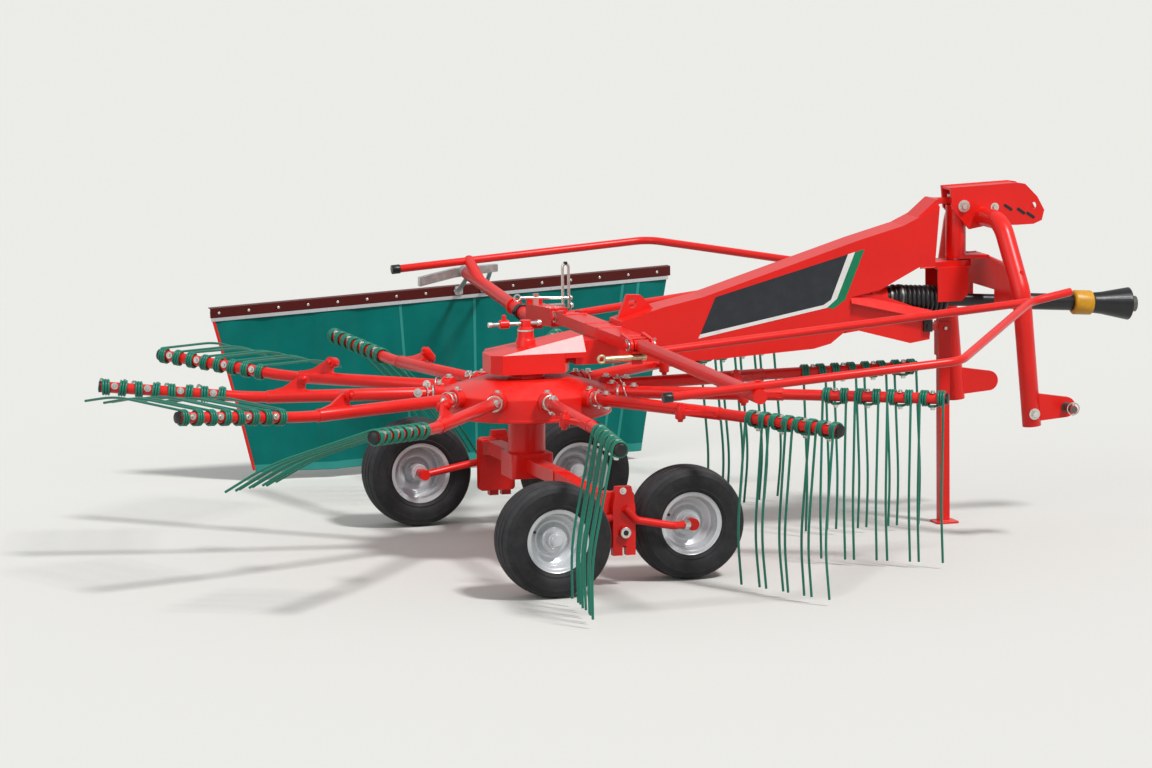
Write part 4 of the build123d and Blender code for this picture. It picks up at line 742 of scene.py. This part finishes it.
# Cross beam: washers and split pins on the hinge pins, welds, and the lock rod of the right guard
CROSS_X = 300
HINGE_Y = 432
HINGE_Z = 820
HINGE_PIN_ENDS = ((-1, 254), (1, 346))
PIN_WASHER = [(0.2, 10.2), (0.2, 18), (4, 18), (4, 10.2)]
BEAM_REAR_X = 252
BEAM_FRONT_X = 348
hinge_metal = Form()
beam_welds = Form()
for side in (1, -1):
    for end, x in HINGE_PIN_ENDS:
        split_x = x + end * 8
        turn(hinge_metal, at(x, side * HINGE_Y, HINGE_Z), ALONG * end, PIN_WASHER, 28, closed=True)
        sweep(hinge_metal, [at(split_x, side * HINGE_Y, HINGE_Z + z) for z in (-17, 0, 17)], 2.2, 8)
        loop_wire(hinge_metal, at(split_x, side * HINGE_Y, HINGE_Z + 20), LEFT, 4, 1.6, 14, 6)
    weld(beam_welds, at(BEAM_REAR_X, side * 70, 842), at(BEAM_FRONT_X, side * 70, 842), 4, 3)
    weld(beam_welds, at(BEAM_REAR_X, side * 338, 843), at(BEAM_FRONT_X, side * 338, 843), 3.4, 5)
ROD_Y = -440
ROD_SLEEVE = [(0, 10), (0, 14), (14, 14), (16, 12), (16, 0)]
ROD_POINTS = ((162, 778), (232, 779), (312, 780))
# The rod's bracket is a plate of (y, z) corners on the beam, and a cheek of (x, z) corners beside the rod
ROD_PLATE = [(-378, 792), (-378, 801), (-452, 801), (-452, 792)]
ROD_CHEEK = [(266, 800), (306, 800), (306, 752), (266, 752)]
ROD_CHEEK_Y = -426
ROD_CHEEK_T = 6
lock_rod = Form()
sweep(lock_rod, [at(x, ROD_Y, z) for x, z in ROD_POINTS], 10, 16)
loop_wire(lock_rod, at(148, ROD_Y, 778), LEFT, 13, 5, 24, 8)
turn(lock_rod, at(300, ROD_Y, 780), ALONG, ROD_SLEEVE, 24)
make("lock_rod", lock_rod, YELLOW_ZINC, "frame")
make("hinge_fittings", hinge_metal, ZINC, "frame")
bracket = Form()
plate_along(bracket, 262, ROD_PLATE, 50)
slab(bracket, [at(x, ROD_CHEEK_Y, z) for x, z in ROD_CHEEK], LEFT * (-ROD_CHEEK_T * MM))
make("lock_rod_bracket", bracket, SIGNAL_RED, "frame")
make("beam_welds", beam_welds, SIGNAL_RED, "frame", sharp=80)

# Latch lever on the left guard's box arm: two bars joined by a bow, and the rod to the catch
LEVER_X = 397
LEVER_Y = 750
LEVER_HALF = 12
LEVER_FOOT_Z = 812
LEVER_BOW_Z = 968
LEVER_BOW_H = 14
BOW_STEPS = 8
CATCH_Z = 851
CATCH_ROD = ((215, 860), (306, 856), (410, CATCH_Z))
# Plates are (y, z) corners
LEVER_BASE = [(730, 796), (770, 796), (770, 830), (730, 830)]
ROD_GUIDE = [(745, 824), (755, 824), (755, 874), (745, 874)]
KNOB = [(0, 0), (0, 6), (2, 8), (9, 8), (11, 6), (11, 0)]
lever = Form()
bow = []
for i in range(BOW_STEPS + 1):
    angle = pi * i / BOW_STEPS
    bow.append(at(LEVER_X - LEVER_HALF * cos(angle), LEVER_Y, LEVER_BOW_Z + LEVER_BOW_H * sin(angle)))
bars = [at(LEVER_X - LEVER_HALF, LEVER_Y, LEVER_FOOT_Z)] + bow
sweep(lever, bars + [at(LEVER_X + LEVER_HALF, LEVER_Y, LEVER_FOOT_Z)], 5.5, 12)
plate_along(lever, 333, LEVER_BASE, 55)
sweep(lever, [at(x, LEVER_Y, z) for x, z in CATCH_ROD], 6, 12)
loop_wire(lever, at(204, LEVER_Y, 860), LEFT, 12, 3.5, 22, 7)
hexagon(lever, at(414, LEVER_Y, 822), ALONG, 17)
hexagon(lever, at(414, LEVER_Y, CATCH_Z), ALONG, 13)
plate_along(lever, 268, ROD_GUIDE, 20)
make("latch_lever", lever, BRIGHT_ZINC, "guard_left")
knob = Form()
turn(knob, at(LEVER_X, LEVER_Y, 979), UP, KNOB, 28)
make("latch_knob", knob, BLACK_PLASTIC, "guard_left")

# Guards: flange bolts and stop ring on the left arm, and welds at the risers
FLANGE_WAY = Vector((0, 860, 84)).normalized()
FLANGE_BOLTS = 6
FLANGE_BOLT_R = 28
STOP_RING = [(0, 25.2), (0, 30), (2, 32), (26, 32), (28, 30), (28, 25.2)]
guard_metal = Form()
for number in range(FLANGE_BOLTS):
    spoke = Quaternion(FLANGE_WAY, 2 * pi / FLANGE_BOLTS * number) @ UP
    hexagon(guard_metal, at(CROSS_X, 1106.3, 783.5) + spoke * (FLANGE_BOLT_R * MM), FLANGE_WAY, 8,
            washer=False)
make("flange_bolts", guard_metal, BRIGHT_ZINC, "guard_left")
stop_ring = Form()
turn(stop_ring, at(CROSS_X, 985, 772.2), FLANGE_WAY, STOP_RING, 36, closed=True)
hexagon(stop_ring, at(CROSS_X - 30, 999, 773.5), -ALONG, 13)
make("arm_stop_ring", stop_ring, BLACK_PLASTIC, "guard_left")
for name, y, z in (("guard_left", 1688, 895), ("guard_right", -1688, 834)):
    riser_weld = Form()
    loop_wire(riser_weld, at(CROSS_X, y, z), LEFT, 19, 3, 28, 6)
    make(f"riser_weld_{name}", riser_weld, SIGNAL_RED, name, sharp=80)

# Boom: film panel and stripes, the fork's clamps, the pivot's grease nipple, and the welds of the seams
FILM_Y = 70.3
FILM_T = 0.6
PANEL = [(713, 934), (1234, 1069), (1166, 902), (1136, 884), (652, 798)]
WHITE_STRIPE = [(1262, 1076), (1190, 905), (1150, 873), (645, 783), (652, 798), (1136, 884), (1166, 902),
                (1234, 1069)]
GREEN_STRIPE = [(1262, 1076), (1300, 1085), (1222, 900), (1176, 868), (1150, 873), (1190, 905)]
for name, corners, film in (("panel", PANEL, CHARCOAL_FILM), ("white_stripe", WHITE_STRIPE, WHITE_FILM),
                            ("green_stripe", GREEN_STRIPE, GREEN_FILM)):
    stripe = Form()
    for side in (1, -1):
        slab(stripe, [at(x, side * FILM_Y, z) for x, z in corners], LEFT * (side * FILM_T * MM))
    make(f"boom_{name}", stripe, film, "frame")
FORK_FACE_Y = 58.2
CLAMP_PLATE = [(1536, 766), (1568, 762), (1570, 826), (1536, 834)]
CLAMP_T = 14
# Welds are (start x, z), (end x, z), distance from the middle, radius and seed
SEAMS = [((1252, 905), (1361, 925), 59, 3.4, 11), ((1520, 1004), (1580, 1004), 70, 3.4, 12),
         ((354, 860), (490, 898), 10.5, 3.2, 13), ((1500, 1180), (1590, 1222), 60.5, 3.2, 14)]
NIPPLE = [(0, 0), (0, 7), (3, 7), (4, 4), (9, 4), (12, 5), (15, 3), (15, 0)]
boom_welds = Form()
fork_clamps = Form()
for side in (1, -1):
    out = LEFT * side
    slab(fork_clamps, [at(x, side * FORK_FACE_Y, z) for x, z in CLAMP_PLATE], out * (CLAMP_T * MM))
    turn(fork_clamps, at(1552, side * 72, 814), out, [(0, 0), (0, 13), (9, 13), (11, 11), (11, 0)], 6)
    turn(fork_clamps, at(1552, side * 72, 782), out, [(0, 0), (0, 9), (7, 9), (8, 7), (8, 0)], 6)
    for (start_x, start_z), (end_x, end_z), y, bead, seed in SEAMS:
        weld(boom_welds, at(start_x, side * y, start_z), at(end_x, side * y, end_z), bead, seed)
nipple = Form()
turn(nipple, at(1690, 0, 1268), UP, NIPPLE, 16)
make("pivot_nipple", nipple, BRIGHT_ZINC, "frame")
make("fork_clamps", fork_clamps, BLACK_PLASTIC, "frame")
make("boom_welds", boom_welds, SIGNAL_RED, "frame", sharp=80)

# Headstock: bolts, the lower-link pins in bare sleeves, their linch pins, and black plates of painted shade
# in the bracket's slots
BRACKET_FACE_Y = 52
LINK_X = 1972
LINK_Z = 500
LINCH_Y = 466
PIN_SLEEVE = [(0, 14.3), (0, 19), (5, 19), (5, 14.8), (77, 14.8), (80, 12.4), (80, 0), (79.7, 0), (79.7, 12),
              (77, 14.3)]
# Bolts are (x, z, width across flats), slots are (x, z), and a slot's corners lie about its place
BRACKET_BOLTS = ((1703, 1226, 24), (1826, 1217, 17))
SLOT_PLACES = ((1880, 1213), (1932, 1197), (1970, 1180))
SLOT_CORNERS = ((-17, 12), (-11, 15), (17, -4), (17, -11), (11, -14), (-17, 5))
# Welds are start, end, radius and seed, on the left side
ARCH_SEAMS = [((1796, 378, 872), (1796, 378, 1010), 4, 15), ((1696, 36, 1039), (1796, 62, 1039), 3.4, 16)]
head_metal = Form()
head_welds = Form()
link_pins = Form()
slot_painted_shade = Form()
for side in (1, -1):
    out = LEFT * side
    for x, z, across in BRACKET_BOLTS:
        hexagon(head_metal, at(x, side * BRACKET_FACE_Y, z), out, across)
    hexagon(head_metal, at(1837, side * 417.5, 484), out, 22)
    turn(link_pins, at(LINK_X, side * 394.4, LINK_Z), out, PIN_SLEEVE, 32, closed=True)
    # The slots are not cut: a thin black plate on each face is painted shade in its place
    for x, z in SLOT_PLACES:
        corners = [at(x + ahead, side * (BRACKET_FACE_Y + 0.2), z + above) for ahead, above in SLOT_CORNERS]
        slab(slot_painted_shade, corners, out * 0.0008)
    sweep(head_metal, [at(LINK_X, side * LINCH_Y, LINK_Z + z) for z in (-23, 0, 25)], 4.2, 10)
    loop_wire(head_metal, at(LINK_X, side * LINCH_Y, LINK_Z + 3), LEFT + ALONG * 0.25, 22, 2.3, 28, 7)
    for (start_x, start_y, start_z), (end_x, end_y, end_z), bead, seed in ARCH_SEAMS:
        weld(head_welds, at(start_x, side * start_y, start_z), at(end_x, side * end_y, end_z), bead, seed)
make("headstock_bolts", head_metal, BRIGHT_ZINC, "headstock")
make("lower_link_pins", link_pins, BARE_STEEL, "headstock")
make("bracket_slot_liners", slot_painted_shade, BLACK_PLASTIC, "headstock")
make("headstock_welds", head_welds, SIGNAL_RED, "headstock", sharp=80)

# Drive shaft: bellows with rounded ribs, from a plain cuff, under two clamp rings
SHAFT_SLOPE = radians(4)
SHAFT_WAY = Vector((cos(SHAFT_SLOPE), 0, -sin(SHAFT_SLOPE)))
BELLOWS_LENGTH = 216 / cos(SHAFT_SLOPE)
BELLOWS_R = 45.5
RIB_H = 6.5
RIB_COUNT = 12
RIB_STEPS = 8
CUFF = [(-60.8, 0), (-60.8, 40), (-4, 40), (-4, BELLOWS_R)]
# Clamp rings are (place along the shaft, outer radius)
CLAMP_RINGS = ((-12, 46), (30, 53))
bellows = Form()
bellows_start = at(1427, 0, 888)
ribs = []
for i in range(RIB_COUNT * RIB_STEPS + 1):
    share = i / (RIB_COUNT * RIB_STEPS)
    ribs.append((BELLOWS_LENGTH * share * 0.999, BELLOWS_R + RIB_H * abs(sin(pi * RIB_COUNT * share)) ** 0.8))
turn(bellows, bellows_start, SHAFT_WAY, CUFF + ribs + [(ribs[-1][0], 0)], 56)
make("ribbed_bellows", bellows, BELLOWS_RUBBER, "frame", ["shaft_bellows"], sharp=50)
clamp_rings = Form()
for along, outer in CLAMP_RINGS:
    turn(clamp_rings, bellows_start + SHAFT_WAY * (along * MM), SHAFT_WAY,
         [(0, 40.1), (0, outer), (8, outer), (8, 40.1)], 48, closed=True)
make("bellows_clips", clamp_rings, BARE_STEEL, "frame")

# Parking leg: locking pin with its spring clip, and bracket bolts
LEG_X = 1700
LEG_PIN_Z = 745
LEG_PIN_Y = (126, 160, 196)
LEG_BOLT_X = (1498, 1540)
leg_metal = Form()
sweep(leg_metal, [at(LEG_X, y, LEG_PIN_Z) for y in LEG_PIN_Y], 6, 14)
loop_wire(leg_metal, at(LEG_X, 190, LEG_PIN_Z - 14), LEFT + ALONG * 0.4, 14, 2.2, 24, 7)
for x in LEG_BOLT_X:
    hexagon(leg_metal, at(x, 78, 753), LEFT, 15)
make("leg_pin", leg_metal, BRIGHT_ZINC, "frame")

# Curtain: cloth that hangs in low waves from its bar, with seam tapes, rivets, clamp strip and edge rod
CURTAIN_Y = 2103.3
BAR_REAR_X = -648
BAR_FRONT_X = 1276
BAR_REAR_Z = 704
BAR_RISE = tan(radians(2.4))
END_GAP = 6
TOP_GAP = 4.3
HEM_Z = 34
HEM_LIFT = 3
HEM_WAVE = 640
REAR_SLANT = 0.26
FRONT_SLANT = 0.17
CLOTH_T = 1.3
CLOTH_COLUMNS = 180
CLOTH_ROWS = 56
# Waves are (height, length, start, drift towards the hem)
WAVES = ((9, 430, 0.8, 0), (6, 211, 2.1, 1), (2.6, 97, 4, -2))


def bar_top(x):
    """Height of the bar's upper edge at a place along the rake."""
    return BAR_REAR_Z + (x - BAR_REAR_X) * BAR_RISE


def cloth_wave(x, drop_share):
    """How far the cloth stands out of its plane: still at the bar, and waving more towards the hem."""
    grown = min(1, 6 * drop_share) * (0.45 + 0.55 * drop_share)
    return grown * sum(height * sin(2 * pi * x / length + start + drift * drop_share)
                       for height, length, start, drift in WAVES)


def cloth_point(across, drop_share, proud=0.0):
    """A point of the cloth, from the rear edge to the front edge and from the bar to the hem."""
    rear_x = BAR_REAR_X + END_GAP
    front_x = BAR_FRONT_X - END_GAP
    rear = rear_x + REAR_SLANT * (bar_top(rear_x) - TOP_GAP - HEM_Z) * drop_share
    front = front_x - FRONT_SLANT * (bar_top(front_x) - TOP_GAP - HEM_Z) * drop_share
    x = rear + (front - rear) * across
    top = bar_top(x) - TOP_GAP
    hem = HEM_Z + HEM_LIFT * (1 + sin(2 * pi * x / HEM_WAVE + 1.0)) * 0.5
    return at(x, CURTAIN_Y + cloth_wave(x, drop_share) + proud, top + (hem - top) * drop_share)


def cloth_strip(form, left, right, top, low, proud, thick, columns, rows):
    """A strip of the cloth between two shares across and two shares down, with its thickness."""
    sheets = []
    for level in (proud, proud + thick):
        grid = []
        for row in range(rows + 1):
            drop = top + (low - top) * row / rows
            grid.append([cloth_point(left + (right - left) * i / columns, drop, level)
                         for i in range(columns + 1)])
        sheets.append(grid)
    front, back = sheets
    rings = [front_row + list(reversed(back_row)) for front_row, back_row in zip(front, back)]
    base = len(form.points)
    count = len(rings[0])
    form.skin(rings, filled=False)
    for first in (base, base + rows * count):
        for i in range(columns):
            form.faces.append((first + i, first + i + 1, first + count - 2 - i, first + count - 1 - i))


cloth = Form()
cloth_strip(cloth, 0, 1, 0, 1, -CLOTH_T / 2, CLOTH_T, CLOTH_COLUMNS, CLOTH_ROWS)
curtain_cloth = make("curtain_cloth_hung", cloth, CLOTH, "curtain", ["curtain_cloth"], sharp=70)
SEAM_SHARES = (0.402, 0.567, 0.898, 0.933)
SEAM_W = 0.006
SEAM_T = 0.8
SEAM_Y = -CLOTH_T / 2 - 0.9
# The hem's tape as shares: rear, front, top and low
HEM_TAPE = (0.001, 0.999, 0.955, 0.998)
seams = Form()
for across in SEAM_SHARES:
    cloth_strip(seams, across, across + SEAM_W, 0, 1, SEAM_Y, SEAM_T, 2, 40)
cloth_strip(seams, *HEM_TAPE, SEAM_Y, SEAM_T, CLOTH_COLUMNS, 2)
# The tapes' paler teal is painted highlight along the seams
curtain_seams = make("curtain_seam_tapes", seams, SEAM, "curtain", sharp=70)
# The cloth is cut as a trapezium: full width at the bar, and slanted in at both ends
RIVET = [(0, 0), (0, 5.5), (1.4, 5), (2.6, 3), (3, 0)]
RIVET_FIRST_X = -612
RIVET_STEP = 122
RIVET_COUNT = 16
RIVET_DROP = 21
rivets = Form()
for number in range(RIVET_COUNT):
    x = RIVET_FIRST_X + RIVET_STEP * number
    turn(rivets, at(x, 2096, bar_top(x) - RIVET_DROP), -LEFT, RIVET, 16)
make("curtain_rivets", rivets, BRIGHT_ZINC, "curtain")
STRIP_REAR_X = BAR_REAR_X + 4
STRIP_FRONT_X = BAR_FRONT_X - 10
STRIP_CORNERS = ((STRIP_REAR_X, 54), (STRIP_FRONT_X, 54), (STRIP_FRONT_X, 40.5), (STRIP_REAR_X, 40.5))
strip = Form()
slab(strip, [at(x, 2098.8, bar_top(x) - drop) for x, drop in STRIP_CORNERS], LEFT * -0.0028)
make("curtain_clamp_strip", strip, SILVER, "curtain")
EDGE_ROD_SHARES = (0.02, 0.3, 0.6, 0.985)
edge_rod = Form()
sweep(edge_rod, [cloth_point(0, share) - ALONG * 0.004 for share in EDGE_ROD_SHARES], 6, 12)
make("curtain_edge_rod", edge_rod, SIGNAL_RED, "curtain")

# Floor and light
floor_mesh = bpy.data.meshes.new("floor")
floor_shape = bmesh.new()
bmesh.ops.create_circle(floor_shape, cap_ends=True, segments=96, radius=150)
floor_shape.to_mesh(floor_mesh)
floor_shape.free()
floor = bpy.data.objects.new("floor", floor_mesh)
bpy.context.scene.collection.objects.link(floor)
# Matt floor paint. Seen directly or in a gloss it is pale, and it throws less light back under the rake
floor_paint = new_material("matt_studio_floor")[0]
rays = add(floor_paint, "LightPath").outputs
seen = add(floor_paint, "Math", {0: rays["Is Camera Ray"], 1: rays["Is Glossy Ray"]}, operation="MAXIMUM")
floor_tone = add(floor_paint, "Mix", {"Factor": seen.outputs["Value"], "A": linear("#8E8D87"),
                                      "B": linear("#D8D7D2")}, data_type="RGBA")
finish_material(floor_paint, {"Base Color": floor_tone.outputs["Result"], "Roughness": 0.9})
floor.data.materials.append(floor_paint)

world = bpy.data.worlds.new("studio")
world.use_nodes = True
world.node_tree.nodes["Background"].inputs["Color"].default_value = linear("#F4F6F8")
world.node_tree.nodes["Background"].inputs["Strength"].default_value = 0.57
bpy.context.scene.world = world

# Wide suns are (name, way the light goes, strength, width in degrees)
SUNS = (("key", (-0.29, 0.5, -0.82), 2.45, 9), ("fill", (0.75, 0.6, -0.45), 0.6, 40))
for lamp_name, direction, strength, spread in SUNS:
    lamp = bpy.data.lights.new(lamp_name, "SUN")
    lamp.energy = strength
    lamp.angle = radians(spread)
    holder = bpy.data.objects.new(lamp_name, lamp)
    bpy.context.scene.collection.objects.link(holder)
    holder.rotation_mode = "QUATERNION"
    holder.rotation_quaternion = Vector(direction).to_track_quat("-Z", "Y")
